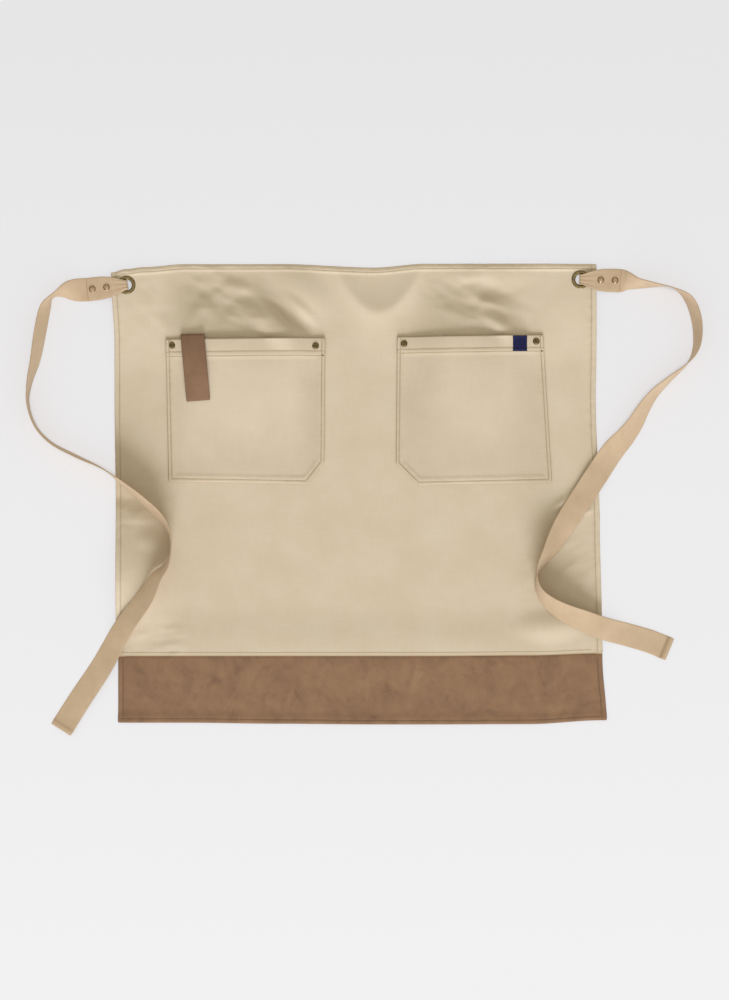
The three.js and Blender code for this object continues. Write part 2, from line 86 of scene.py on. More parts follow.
def bell(share: Array) -> Array:
    """Falls smoothly from 1 at a share of 0 to 0 at a share of 1 and beyond."""
    return 0.5 + 0.5 * np.cos(np.pi * np.minimum(share, 1.0))


def line_dip(distance: Array, width: float) -> Array:
    """Is 1 on a line and fades to 0 within about twice the width beside it."""
    return np.exp(-((distance / width) ** 2))


def turned(x: Array, y: Array, turn: float) -> tuple[Array, Array]:
    """How far points lie along and across a direction that is turned by some degrees from X."""
    cosine, sine = math.cos(math.radians(turn)), math.sin(math.radians(turn))
    return x * cosine + y * sine, y * cosine - x * sine


def drawn_in(lines: Sequence[Array], width: float, x: Array, y: Array) -> Array:
    """How far lines of stitching draw the cloth together, from 0 to 1, which changes a little along each."""
    pull = EVEN_PULL + PULL_CHANGE * wander(x, y, PULL_SIZE, PULL_SEED)
    return pull * np.maximum.reduce([line_dip(line, width) for line in lines])


def column(rows: Sequence[Any], name: str) -> Array:
    """One named column of a table."""
    return np.array([getattr(row, name) for row in rows], float)


def read_table(rows: Sequence[Any], along: str, name: str, at: Array) -> Array:
    """Reads one column of a table smoothly between its rows.

    Args:
        rows: the table, with the column along rising from row to row.
        along: the column that says where each row stands.
        name: the column that is read.
        at: the places to read it at.

    Returns:
        The values at those places.
    """
    places, values = column(rows, along), column(rows, name)
    at = np.asarray(at, float)
    before = np.clip(np.searchsorted(places, at, side="right") - 1, 0, len(rows) - 2)
    share = smoothstep(at, places[before], places[before + 1])
    return values[before] + (values[before + 1] - values[before]) * share


def wander(x: Array, y: Array, size: float, seed: float) -> Array:
    """Smooth noise between about -1 and 1, in swells of a size and the same on every run for a seed."""
    pairs = zip(np.ravel(x) / size, np.ravel(y) / size)
    return np.reshape([noise.noise(Vector((a, b, seed))) for a, b in pairs], np.shape(x))


def grid_lines(length: float, start: Sequence[float], end: Sequence[float], step: float) -> Array:
    """Places along a length, with fixed stops near both ends and even steps between them.

    Args:
        length: the whole length.
        start: stops measured from its start.
        end: stops measured back from its end.
        step: about how far the other lines stand apart.

    Returns:
        The places, rising.
    """
    first, last = start[-1], length - end[-1]
    count = max(1, round((last - first) / step))
    between = np.linspace(first, last, count + 1)[1:-1]
    return np.concatenate([start, between, length - np.array(end[::-1])])


# Sizes and tables that several pieces share


class Side(Enum):
    """The two sides of the apron."""

    LEFT = "left"
    RIGHT = "right"

    @property
    def hand(self) -> int:
        """1 on the left side and -1 on the right one."""
        return 1 if self is Side.LEFT else -1


class SideRow(NamedTuple):
    """Where the two side edges lie at one height."""

    y: float
    left: float
    right: float


class EndRow(NamedTuple):
    """Where the waist, the band's seam and the foot lie at one place across."""

    x: float
    waist: float
    seam: float
    foot: float


class Fold(NamedTuple):
    """An oval swelling of the canvas, with the turn of its long axis in degrees."""

    x: float
    y: float
    turn: float
    length: float
    width: float
    height: float

    def rise(self, x: Array, y: Array) -> Array:
        """The swelling's height at places on the table."""
        along, across = turned(x - self.x, y - self.y, self.turn)
        return self.height * bell(np.hypot(along / self.length, across / self.width))


class Hump(NamedTuple):
    """A broad rise, such as the one behind a pocket's mouth, with a straight crest.

    Each flank has its foot and its width. Above the crest the right flank leans to the left.
    """

    crest: float
    above: float
    below: float
    height: float
    left: float
    left_width: float
    right: float
    right_width: float
    lean: float

    def rise(self, x: Array, y: Array) -> Array:
        """The rise at places on the table.

        Args:
            x: places across.
            y: places up.

        Returns:
            The heights there.
        """
        away = y - self.crest
        slope = bell(np.where(away > 0, away / self.above, -away / self.below))
        leaned = x + self.lean * np.maximum(away, 0.0)
        left = smoothstep(x, self.left, self.left + self.left_width)
        right = 1.0 - smoothstep(leaned, self.right - self.right_width, self.right)
        return self.height * slope * left * right


class Crumple(NamedTuple):
    """A patch of small wrinkles: its half width and half height, and how long and wide a wrinkle is."""

    x: float
    y: float
    turn: float
    length: float
    width: float
    long: float
    short: float
    height: float

    def rise(self, x: Array, y: Array) -> Array:
        """How far the wrinkles lift or lower the canvas at places on the table.

        Args:
            x: places across.
            y: places up.

        Returns:
            The heights there.
        """
        along, across = turned(x - self.x, y - self.y, self.turn)
        patch = np.sqrt(bell(np.hypot(along / self.length, across / self.width)))
        ripple = wander(along / self.long, across / self.short, 1.0, self.turn)
        finer = wander(2 * along / self.long, 2 * across / self.short, 1.0, self.turn)
        return self.height * patch * (WRINKLE * ripple + FINER_WRINKLE * finer)


class Scoop(NamedTuple):
    """A shallow dish below the waist, with a creased rim along a parabola that opens upwards."""

    x: float
    y: float
    flare: float
    reach: float
    above: float
    below: float
    edge: float
    height: float

    def rise(self, x: Array, y: Array) -> Array:
        """The height at places on the table, which falls away from the rim on both sides of it.

        Args:
            x: places across.
            y: places up.

        Returns:
            The heights there.
        """
        away = y - self.y - (x - self.x) ** 2 / self.flare
        rounded = np.hypot(away, self.edge) - self.edge
        share = rounded / np.where(away > 0, self.above, self.below)
        return self.height * (1.0 - np.minimum(share, 1.0)) ** 2 * bell(np.abs(x - self.x) / self.reach)


class Swell(NamedTuple):
    """A size of the canvas's fine unevenness, and how high it stands."""

    size: float
    height: float
    seed: float

    def rise(self, x: Array, y: Array) -> Array:
        """The unevenness at places on the table."""
        return self.height * (0.5 + 0.5 * wander(x, y, self.size, self.seed))


class EyeletPlace(NamedTuple):
    """The middle of an eyelet and the direction in which its tie leaves, in degrees."""

    x: float
    y: float
    heading: float


SIDES = (
    SideRow(-325, -348, 355),
    SideRow(-235, -348, 349),
    SideRow(-187, -351, 348),
    SideRow(-50, -351, 345),
    SideRow(140, -353, 339),
    SideRow(217, -353, 340),
    SideRow(320, -358, 340),
)
ENDS = (
    EndRow(-356, 320, -232, -327.5),
    EndRow(-338, 324.5, -232, -327.5),
    EndRow(-310, 327.5, -232, -327.5),
    EndRow(-250, 332, -232, -327.5),
    EndRow(-110, 332, -232, -329),
    EndRow(20, 327, -232, -330),
    EndRow(95, 332.5, -232, -330),
    EndRow(245, 332.5, -231, -329.5),
    EndRow(346, 332, -228, -324),
)
FORMS = (
    Fold(-88, 294, -42, 80, 42, 4.5),
    Fold(185, 320, 0, 85, 32, 4),
    Fold(298, -18, 45, 44, 24, 3),
    Fold(275, -188, 4, 66, 30, 3.5),
    Fold(-325, -36, -4, 36, 8, 0.8),
    Fold(-178, 300, -8, 46, 14, 1.6),
    Fold(-236, 258, 64, 40, 16, 1.6),
    Fold(176, 282, -28, 40, 15, 2.0),
    Fold(287, -14, 38, 26, 9, 3.0),
    Fold(327, -24, 20, 15, 5, 1.0),
    Fold(-127, 243, -41, 54, 26, 5.3),
    Fold(-108, 259, -41, 50, 12, -7.4),
    Fold(-87, 268, -41, 44, 14, 3.0),
    Fold(200, 244, -36, 36, 17, 5.5),
    Fold(-335, -122, 8, 90, 110, 13.5),
    Fold(-300, -66, -10, 30, 20, 2.5),
    Hump(230, 92, 190, 13.2, -294, 62, -64, 42, 0.77),
    Hump(230, 86, 190, 10, 72, 60, 246, 40, 0.25),
    Hump(-30, 28, 190, 5.5, -380, 20, -282, 36, 0),
    Crumple(-180, 276, -24, 96, 50, 30, 17, 7.0),
    Crumple(165, 278, -20, 90, 48, 32, 18, 6.5),
    Crumple(-305, 262, -50, 60, 46, 40, 20, 3.0),
    Crumple(-312, -12, -12, 56, 60, 34, 16, 2.4),
    Crumple(290, -110, 35, 60, 80, 34, 16, 4.0),
    Crumple(-290, -215, 8, 60, 40, 26, 12, 2.6),
    Scoop(27, 263, 60, 95, 52, 64, 5, 5.0),
    Swell(85, 0.8, 3.7),
    Swell(34, 0.3, 8.1),
    Swell(13, 0.07, 5.3),
)
EYELETS = {
    Side.LEFT: EyeletPlace(-336, 302, 186.5),
    Side.RIGHT: EyeletPlace(317.5, 310, -1.5),
}


@dataclass(frozen=True)
class Layers:
    """Thicknesses of cloth and leather, and the room between two layers that lie on each other."""

    canvas: float = 1.2
    hem: float = 2.2
    hem_width: float = 7.0
    hem_fade: float = 3.0
    leather: float = 1.6
    gap: float = 0.4
    band_tuck: float = 12.0
    band_rise: float = 60.0


LAYERS = Layers()


@dataclass(frozen=True)
class Lie:
    """How the canvas lies on the table: where its edges are and how high its underside stands."""

    corner_lift: float = 4.3
    corner_flat: float = 26.0
    corner_reach: float = 130.0
    rivet_lift: float = 1.4
    rivet_reach: float = 55.0
    rivets: tuple[tuple[float, float], ...] = ((-269.5, 215), (-64, 214.5), (63.5, 217.5), (253.5, 221))

    def side(self, side: Side, y: Array) -> Array:
        """Where a side edge lies at a height."""
        return read_table(SIDES, "y", side.value, y)

    def end(self, edge: str, x: Array) -> Array:
        """Where the waist, seam or foot lies at a place across."""
        return read_table(ENDS, "x", edge, x)

    def inset(self, x: Array, y: Array) -> Array:
        """How far points lie in from the nearer side edge."""
        return np.minimum(x - self.side(Side.LEFT, y), self.side(Side.RIGHT, y) - x)

    def shelf(self, distance: Array) -> Array:
        """The lift of a corner that lies on gathered webbing, as a share."""
        return 1.0 - smoothstep(np.abs(distance), self.corner_flat, self.corner_reach)

    def under(self, x: Array, y: Array) -> Array:
        """Height of the canvas's underside above the table.

        Args:
            x: places across.
            y: places up.

        Returns:
            The heights there.
        """
        x, y = np.asarray(x, float), np.asarray(y, float)
        height = np.zeros(np.broadcast(x, y).shape)
        for form in FORMS:
            height += form.rise(x, y)
        for rivet_x, rivet_y in self.rivets:
            height += self.rivet_lift * bell(np.hypot(x - rivet_x, y - rivet_y) / self.rivet_reach)
        for eyelet in EYELETS.values():
            height += self.corner_lift * self.shelf(x - eyelet.x) * self.shelf(y - eyelet.y)
        above_seam = y - self.end("seam", x)
        ramp = smoothstep(above_seam, LAYERS.band_tuck, LAYERS.band_tuck + LAYERS.band_rise)
        height += (LAYERS.leather + LAYERS.gap) * (1.0 - ramp)
        return np.maximum(height, 0.0)

    def flat_point(
        self, across: Array, up: Array, lower: str, upper: str, tuck: float = 0.0
    ) -> tuple[Array, Array]:
        """Lays a point of the flat pattern on the table.

        Args:
            across: shares of the width, from the left edge.
            up: shares of the height, from the lower edge to the upper one.
            lower: the name of the lower edge.
            upper: the name of the upper edge.
            tuck: how far the pattern runs on past its upper edge.

        Returns:
            The places across and up.
        """
        def across_at(height: Array) -> Array:
            """The place across at a height."""
            left, right = self.side(Side.LEFT, height), self.side(Side.RIGHT, height)
            return left + (right - left) * across

        def up_at(place: Array) -> Array:
            """The height at a place across."""
            foot, top = self.end(lower, place), self.end(upper, place) + tuck
            return foot + (top - foot) * up

        y = up_at(across_at(up_at(np.zeros_like(across))))
        return across_at(y), y


LIE = Lie()


# Materials

# How many radians a wave texture of scale 1 turns in a unit
WAVE_TURN = 20.0


def linear(hex_colour: str) -> tuple[float, float, float, float]:
    """Turns an sRGB hex value into the linear colour that a shader takes.

    Args:
        hex_colour: the value, with its leading hash sign.

    Returns:
        Red, green, blue and an alpha of 1.
    """
    shares = [int(hex_colour[at:at + 2], 16) / 255 for at in (1, 3, 5)]
    bent = [share / 12.92 if share <= 0.04045 else ((share + 0.055) / 1.055) ** 2.4 for share in shares]
    return (*bent, 1.0)


def add_node(
    tree: Tree, kind: str, inputs: dict | None = None, out: int | str = 0, **settings: Any
) -> Socket | None:
    """Adds a node to a material.

    Args:
        tree: the material's node tree.
        kind: the node's type, without the word that the types of all shader nodes begin with.
        inputs: for each input, by name or number, a value or the socket that feeds it.
        out: the name or number of the output that is wanted.
        settings: the node's own properties.

    Returns:
        The wanted output, or None for a node without outputs.
    """
    node = tree.nodes.new(f"ShaderNode{kind}")
    for name, value in settings.items():
        setattr(node, name, value)
    for key, value in (inputs or {}).items():
        if isinstance(value, Socket):
            tree.links.new(value, node.inputs[key])
        else:
            node.inputs[key].default_value = value
    return node.outputs[out] if node.outputs else None


def per_metre(size: float) -> float:
    """How many repeats of a size in millimetres fit in a metre."""
    return 1.0 / (size * MM)


def bands_per(size: float) -> float:
    """The scale at which a wave texture's bands repeat at a size in millimetres."""
    return 2.0 * math.pi / WAVE_TURN * per_metre(size)


def new_material(name: str) -> bpy.types.Material:
    """Makes a material with an empty node tree.

    Args:
        name: the material's name.

    Returns:
        The material.
    """
    material = bpy.data.materials.new(name)
    material.use_nodes = True
    material.node_tree.nodes.clear()
    return material


@dataclass(frozen=True)
class Finish:
    """What every finish has: a name, a dark and a light colour, a colour of painted shade for stitch grooves
    and rims, and constants of its surface.
    """

    name: str
    dark: str
    light: str
    roughness: float = 0.9
    metallic: float = 0.0
    sheen: float = 0.0
    # Colour of painted shade, mixed in where stitching pinches the cloth and along rims
    painted_shade: str | None = None
    shine: float = 0.5
    relief: float = 0.1

    def build(self) -> bpy.types.Material:
        """Makes the material, with its colour and bump from the finish's own pattern, and with painted shade
        where the mesh's mark asks for it.

        Returns:
            The material.
        """
        material = new_material(self.name)
        tree = material.node_tree
        share, height = self.pattern(tree)
        dark, light = linear(self.dark), linear(self.light)
        colour = add_node(tree, "Mix", {0: share, 6: dark, 7: light}, 2, data_type="RGBA")
        # Painted shade: darkens the colour where the mesh marks stitch grooves and rims, standing in for the
        # shade there
        if self.painted_shade:
            pinch_and_shade = add_node(tree, "Attribute", None, "Fac", attribute_name=PAINTED_SHADE_MARK)
            dark = linear(self.painted_shade)
            colour = add_node(tree, "Mix", {0: pinch_and_shade, 6: colour, 7: dark}, 2, data_type="RGBA")
        bump = add_node(tree, "Bump", {"Height": height, "Distance": self.relief * MM, "Strength": 1.0})
        shader = add_node(tree, "BsdfPrincipled", {
            "Base Color": colour, "Normal": bump, "Roughness": self.roughness, "Metallic": self.metallic,
            "Sheen Weight": self.sheen, "Specular IOR Level": self.shine,
        })
        add_node(tree, "OutputMaterial", {"Surface": shader})
        return material

    def pattern(self, tree: Tree) -> Sockets:
        """Adds the finish's pattern to the tree and returns its colour share and its bump height."""
        raise NotImplementedError


@dataclass(frozen=True)
class PlainWovenCanvas(Finish):
    """Cotton canvas, plain woven from uneven yarn: a matt face with faint slubs and soft clouds of tone."""

    relief: float = 0.022
    thread: float = 1.3
    slub_length: float = 26.0
    slub_width: float = 2.2
    cloud: float = 55.0
    yarn_tone: float = 0.5
    yarn_rise: float = 1.2
    tones: tuple[float, float] = (0.45, 1.55)

    def pattern(self, tree: Tree) -> Sockets:
        """Crosses two sets of threads; their spacing is about twice the real one, so that it shows.

        Args:
            tree: the material's node tree.

        Returns:
            The share of the light colour and the bump's height.
        """
        flat = add_node(tree, "UVMap", uv_map=PATTERN_MAP)
        waves = [
            add_node(tree, "TexWave", {
                "Vector": flat, "Scale": bands_per(self.thread), "Distortion": 0.6, "Detail": 1.0,
                "Detail Scale": 0.4,
            }, "Fac", bands_direction=direction)
            for direction in "XY"
        ]
        slubs = []
        for long, short in ((self.slub_length, self.slub_width), (self.slub_width, self.slub_length)):
            scale = (per_metre(long), per_metre(short), 1.0)
            stretched = add_node(tree, "Mapping", {"Vector": flat, "Scale": scale})
            slub = {"Vector": stretched, "Scale": 1.0, "Detail": 2.0}
            slubs.append(add_node(tree, "TexNoise", slub, "Fac"))
        clouds = {"Vector": flat, "Scale": per_metre(self.cloud), "Detail": 3.0}
        cloud = add_node(tree, "TexNoise", clouds, "Fac")
        low, high = self.tones
        yarn = add_node(tree, "Math", dict(enumerate(slubs)), operation="ADD")
        tone = add_node(tree, "Math", {0: yarn, 1: self.yarn_tone, 2: cloud}, operation="MULTIPLY_ADD")
        share = add_node(tree, "MapRange", {"Value": tone, "From Min": low, "From Max": high})
        weave = add_node(tree, "Math", dict(enumerate(waves)), operation="ADD")
        height = add_node(tree, "Math", {0: yarn, 1: self.yarn_rise, 2: weave}, operation="MULTIPLY_ADD")
        return share, height


@dataclass(frozen=True)
class BrushedSuede(Finish):
    """Split leather, brushed to a nap: blotches where the nap lies one way or the other, and a dry face."""

    relief: float = 0.25
    blotch: float = 34.0
    mottle: float = 13.0
    spot: float = 20.0
    nap: float = 1.6
    draw: float = 0.8
    mottle_tone: float = 0.4
    nap_tone: float = 0.2
    tones: tuple[float, float] = (0.45, 1.13)
    spot_tones: tuple[float, float] = (0.58, 0.74)
    spot_depth: float = 0.3
    mottle_rise: float = 0.6

    def pattern(self, tree: Tree) -> Sockets:
        """Lays blotches, mottles, nap and dark spots over each other, all drawn out along the brushing.

        Args:
            tree: the material's node tree.

        Returns:
            The share of the light colour and the bump's height.
        """
        flat = add_node(tree, "UVMap", uv_map=PATTERN_MAP)
        brushed = add_node(tree, "Mapping", {"Vector": flat, "Scale": (1.0, self.draw, 1.0)})
        blotch, mottle, nap, spot = (
            add_node(tree, "TexNoise", {
                "Vector": brushed, "Scale": per_metre(size), "Detail": detail, "Roughness": 0.6,
                "Distortion": 0.6,
            }, "Fac")
            for size, detail in ((self.blotch, 3.0), (self.mottle, 4.0), (self.nap, 2.0), (self.spot, 1.0))
        )
        broad = add_node(tree, "Math", {0: mottle, 1: self.mottle_tone, 2: blotch}, operation="MULTIPLY_ADD")
        tone = add_node(tree, "Math", {0: nap, 1: self.nap_tone, 2: broad}, operation="MULTIPLY_ADD")
        low, high = self.tones
        even = add_node(tree, "MapRange", {"Value": tone, "From Min": low, "From Max": high})
        low, high = self.spot_tones
        spots = add_node(tree, "MapRange", {
            "Value": spot, "From Min": low, "From Max": high, "To Max": self.spot_depth,
        })
        share = add_node(tree, "Math", {0: even, 1: spots}, operation="SUBTRACT", use_clamp=True)
        height = add_node(tree, "Math", {0: mottle, 1: self.mottle_rise, 2: nap}, operation="MULTIPLY_ADD")
        return share, height


@dataclass(frozen=True)
class TwillWebbing(Finish):
    """Cotton webbing, woven as a herringbone twill: slanting ribs that meet along the middle."""

    relief: float = 0.05
    rib: float = 2.0
    cloud: float = 40.0
    rib_tone: float = 0.04
    tones: tuple[float, float] = (0.25, 0.75)

    def pattern(self, tree: Tree) -> Sockets:
        """Slants ribs away from the middle; their spacing is a little over the real one, so that it shows.

        Args:
            tree: the material's node tree.

        Returns:
            The share of the light colour and the bump's height.
        """
        flat = add_node(tree, "UVMap", uv_map=PATTERN_MAP)
        beside = add_node(tree, "SeparateXYZ", {0: flat})
        across = add_node(tree, "Math", {0: beside}, operation="ABSOLUTE")
        slant = add_node(tree, "Math", {0: across, 1: beside.node.outputs[1]}, operation="ADD")
        turns = 2.0 * math.pi * per_metre(self.rib)
        phase = add_node(tree, "Math", {0: slant, 1: turns}, operation="MULTIPLY")
        rib = add_node(tree, "Math", {0: phase}, operation="SINE")
        cloud = add_node(tree, "TexNoise", {
            "Vector": flat, "Scale": per_metre(self.cloud), "Detail": 4.0, "Roughness": 0.65,
        }, "Fac")
        low, high = self.tones
        tone = add_node(tree, "Math", {0: rib, 1: self.rib_tone, 2: cloud}, operation="MULTIPLY_ADD")
        return add_node(tree, "MapRange", {"Value": tone, "From Min": low, "From Max": high}), rib


@dataclass(frozen=True)
class SatinLabel(Finish):
    """Polyester label, woven as a satin: close fine ribs and a faint shine."""

    rib: float = 0.9

    def pattern(self, tree: Tree) -> Sockets:
        """Runs fine ribs across the label; their spacing is twice the real one, so that it shows.

        Args:
            tree: the material's node tree.

        Returns:
            The ribs, both as the share of the light colour and as the bump's height.
        """
        flat = add_node(tree, "UVMap", uv_map=PATTERN_MAP)
        bands = {"Vector": flat, "Scale": bands_per(self.rib), "Distortion": 0.5}
        rib = add_node(tree, "TexWave", bands, "Fac", bands_direction="Y")
        return rib, rib


@dataclass(frozen=True)
class SpunThread(Finish):
    """Spun sewing thread: matt, with small changes of tone from stitch to stitch."""

    change: float = 4.0

    def pattern(self, tree: Tree) -> Sockets:
        """Changes the tone every few millimetres.

        Args:
            tree: the material's node tree.

        Returns:
            The changes, both as the share of the light colour and as the bump's height.
        """
        place = add_node(tree, "TexCoord", None, "Object")
        tone = add_node(tree, "TexNoise", {"Vector": place, "Scale": per_metre(self.change)}, "Fac")
        return tone, tone


@dataclass(frozen=True)
class AgedBrass(Finish):
    """Pressed brass with an aged finish: dark in its grooves and round its rim, rubbed bright on top."""

    relief: float = 0.06
    speckle: float = 2.4
    brightest: float = 0.6

    def pattern(self, tree: Tree) -> Sockets:
        """Takes the tarnish that each point of the metal carries away from a speckled shine.

        Args:
            tree: the material's node tree.

        Returns:
            The share of the bright colour and the bump's height.
        """
        place = add_node(tree, "TexCoord", None, "Object")
        grain = {"Vector": place, "Scale": per_metre(self.speckle), "Detail": 3.0}
        speckle = add_node(tree, "TexNoise", grain, "Fac")
        tarnish = add_node(tree, "Attribute", None, "Fac", attribute_name=TARNISH_MARK)
        share = add_node(tree, "Math", {0: speckle, 1: tarnish}, operation="SUBTRACT", use_clamp=True)
        return add_node(tree, "MapRange", {"Value": share, "From Max": self.brightest}), speckle


# A cloth's third colour is its painted shade, for stitch grooves and rims
CANVAS = PlainWovenCanvas(
    "cotton_canvas_plain_woven", "#CBBA9E", "#D8C9B0", roughness=0.95, sheen=0.1, painted_shade="#A18C6B"
)
POCKET_CANVAS = PlainWovenCanvas(
    "pocket_canvas_plain_woven", "#C4B398", "#D1C2A9", roughness=0.95, sheen=0.1, painted_shade="#A18C6B"
)
SUEDE = BrushedSuede(
    "split_leather_brushed", "#7C5E45", "#9B7959", roughness=0.95, sheen=0.15, painted_shade="#6B4F38"
)
TAB_LEATHER = BrushedSuede(
    "tab_leather_brushed", "#74573F", "#88674C", roughness=0.9, sheen=0.1, painted_shade="#553C29"
)
WEBBING = TwillWebbing(
    "cotton_webbing_herringbone", "#BEA587", "#CFB799", roughness=0.95, sheen=0.1, painted_shade="#A08666"
)
SATIN = SatinLabel(
    "polyester_label_satin_woven", "#15163A", "#20224C", roughness=0.7, painted_shade="#0E0F28", shine=0.15
)
CREAM_THREAD = SpunThread("cotton_thread_cream", "#A8956F", "#BDA985")
BROWN_THREAD = SpunThread("cotton_thread_brown", "#5E4733", "#77593F")
NAVY_THREAD = SpunThread("cotton_thread_navy", "#262850", "#3A3D6C", roughness=0.8)
DARK_BRASS = AgedBrass("brass_aged_dark", "#43381F", "#B7A272", roughness=0.42, metallic=1.0)
LIGHT_BRASS = AgedBrass("brass_aged_light", "#7C5F45", "#DCC0A0", roughness=0.36, metallic=1.0)


# Sheets and stitches


def new_piece(name: str, mesh: bpy.types.Mesh, finish: Finish) -> Piece:
    """Makes an object of a mesh and gives it a finish, which all pieces of that finish share.

    Args:
        name: the piece's name.
        mesh: its mesh, in metres and in place.
        finish: what its surface is.

    Returns:
        The piece.
    """
    piece = bpy.data.objects.new(name, mesh)
    bpy.context.scene.collection.objects.link(piece)
    mesh.materials.append(bpy.data.materials.get(finish.name) or finish.build())
    return piece


def settle(piece: Piece, slot: str, *nodes: str) -> Piece:
    """Makes a piece ride on the apron and hides the nodes that it stands for.

    Args:
        piece: the piece, in place.
        slot: not used.
        nodes: the nodes that it replaces.

    Returns:
        The piece.
    """
    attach(piece, BODY)
    if nodes:
        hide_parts(*nodes)
    LOG.info("%s: %d faces", piece.name, len(piece.data.polygons))
    return piece


def strip_pattern(across: Array, along: Array) -> Array:
    """The flat pattern of a strip, from the place across it of each column and along it of each row."""
    return np.stack(np.broadcast_arrays(across[None, :], along[:, None]), axis=-1)


@dataclass
class Sheet:
    """A closed sheet over a grid of rows and columns, in millimetres.

    Each grid point has the middle of the sheet, its normal, its thickness, its place in the flat pattern
    and how far stitching pinches it, which also sets how much painted shade it gets; the rim gets at least
    some painted shade.
    """

    middle: Array
    normal: Array
    thickness: Array
    pattern: Array
    # These two only set painted shade in the colour: along stitching, and at least this much along the rim
    pinch_and_shade: Array
    rim_painted_shade: float = 0.5
    rim_turns: tuple[float, ...] = (45.0, 0.0, -45.0)

    @classmethod
    def face_up(
        cls, places: Sequence[Array], thickness: Array, pattern: Sequence[Array],
        pinch_and_shade: Array, rim_painted_shade: float,
    ) -> "Sheet":
        """A sheet that lies face up.

        Args:
            places: where the grid points of its underside lie across, up and in height.
            thickness: how thick it is at each.
            pattern: their places across and up in the flat pattern.
            pinch_and_shade: how far stitching pinches it at each, which sets its painted shade there.
            rim_painted_shade: the least painted shade along its rim.

        Returns:
            The sheet.
        """
        x, y, under = places
        middle = np.stack([x, y, under + thickness / 2], axis=-1)
        normal = np.broadcast_to(UP, middle.shape)
        return cls(middle, normal, thickness, np.stack(pattern, axis=-1), pinch_and_shade, rim_painted_shade)

    def make(self, name: str, finish: Finish) -> Piece:
        """Makes a piece of the sheet."""
        return new_piece(name, self.build(name), finish)

    def border(self) -> tuple[Array, Array]:
        """The border's points, once round.

        Returns:
            Their rows and their columns.
        """
        rows, columns = self.thickness.shape
        there, back = np.arange(columns - 1), np.arange(columns - 1, 0, -1)
        out, home = np.arange(rows - 1), np.arange(rows - 1, 0, -1)
        row = np.concatenate([np.zeros_like(there), out, np.full_like(back, rows - 1), home])
        col = np.concatenate([there, np.full_like(out, columns - 1), back, np.zeros_like(home)])
        return row, col

    def build(self, name: str) -> bpy.types.Mesh:
        """Makes the mesh: an upper and a lower layer with a rounded rim between them.

        Args:
            name: the mesh's name.

        Returns:
            The mesh, in metres, with its faces pointing out and the pattern as its UV map.
        """
        rows, columns = self.thickness.shape
        count = rows * columns
        half = self.normal * self.thickness[..., None] / 2
        row, col = self.border()
        inner = self.middle[np.clip(row, 1, rows - 2), np.clip(col, 1, columns - 2)]
        outward = self.middle[row, col] - inner
        normal = self.normal[row, col]
        outward -= normal * np.sum(outward * normal, axis=1, keepdims=True)
        outward *= (self.thickness[row, col] / 2 / np.linalg.norm(outward, axis=1))[:, None]
        places = [(self.middle + half).reshape(-1, 3), (self.middle - half).reshape(-1, 3)]
        patterns = [self.pattern.reshape(-1, 2)] * 2
        # Painted shade marks: along stitching, and at least some all round the rim
        painted_shades = [self.pinch_and_shade.ravel()] * 2
        rim_painted_shade = np.maximum(self.pinch_and_shade[row, col], self.rim_painted_shade)
        for turn in np.radians(self.rim_turns):
            places.append(self.middle[row, col] + outward * math.cos(turn) + half[row, col] * math.sin(turn))
            patterns.append(self.pattern[row, col])
            painted_shades.append(rim_painted_shade)
        corner = (np.arange(rows - 1)[:, None] * columns + np.arange(columns - 1)).ravel()
        upper = np.stack([corner, corner + 1, corner + columns + 1, corner + columns], axis=1)
        border = row * columns + col
        rims = [2 * count + k * len(border) + np.arange(len(border)) for k in range(len(self.rim_turns))]
        loops = [border, *rims, border + count]
        faces = [upper, upper[:, ::-1] + count]
        for over, below in zip(loops, loops[1:]):
            faces.append(np.stack([np.roll(over, -1), over, below, np.roll(below, -1)], axis=1))
        mesh = self.to_mesh(name, np.concatenate(places), np.concatenate(faces), np.concatenate(patterns))
        # Writes the painted shade mark that the finish darkens by
        mark = mesh.attributes.new(PAINTED_SHADE_MARK, "FLOAT", "POINT")
        mark.data.foreach_set("value", np.concatenate(painted_shades).astype(np.float32))
        return mesh

    @staticmethod
    def to_mesh(name: str, places: Array, faces: Array, patterns: Array) -> bpy.types.Mesh:
        """Turns points and faces of four corners into a mesh that faces out.

        Args:
            name: the mesh's name.
            places: the points, in millimetres.
            faces: the points of each face.
            patterns: the points' places in the flat pattern.

        Returns:
            The mesh, in metres.
        """
        first, second, third, fourth = (places[faces[:, k]] for k in range(4))
        volume = np.sum(first * np.cross(second, third)) + np.sum(first * np.cross(third, fourth))
        if volume < 0:
            faces = faces[:, ::-1]
        mesh = bpy.data.meshes.new(name)
        mesh.from_pydata((places * MM).tolist(), [], faces.tolist())
        layer = mesh.uv_layers.new(name=PATTERN_MAP)
        layer.data.foreach_set("uv", (patterns[faces.ravel()] * MM).ravel())
        mesh.shade_smooth()
        return mesh


class Run(NamedTuple):
    """A line of stitching: points along it and the cloth's normal at each, in millimetres."""

    points: Array
    normals: Array


def run_on_top(x: Array, y: Array, top: Callable[[Array, Array], Array]) -> Run:
    """A line of stitching on cloth that lies face up, with the height of its face as a function."""
    points = np.stack([x, y, top(x, y)], axis=1)
    return Run(points, np.broadcast_to(UP, points.shape))


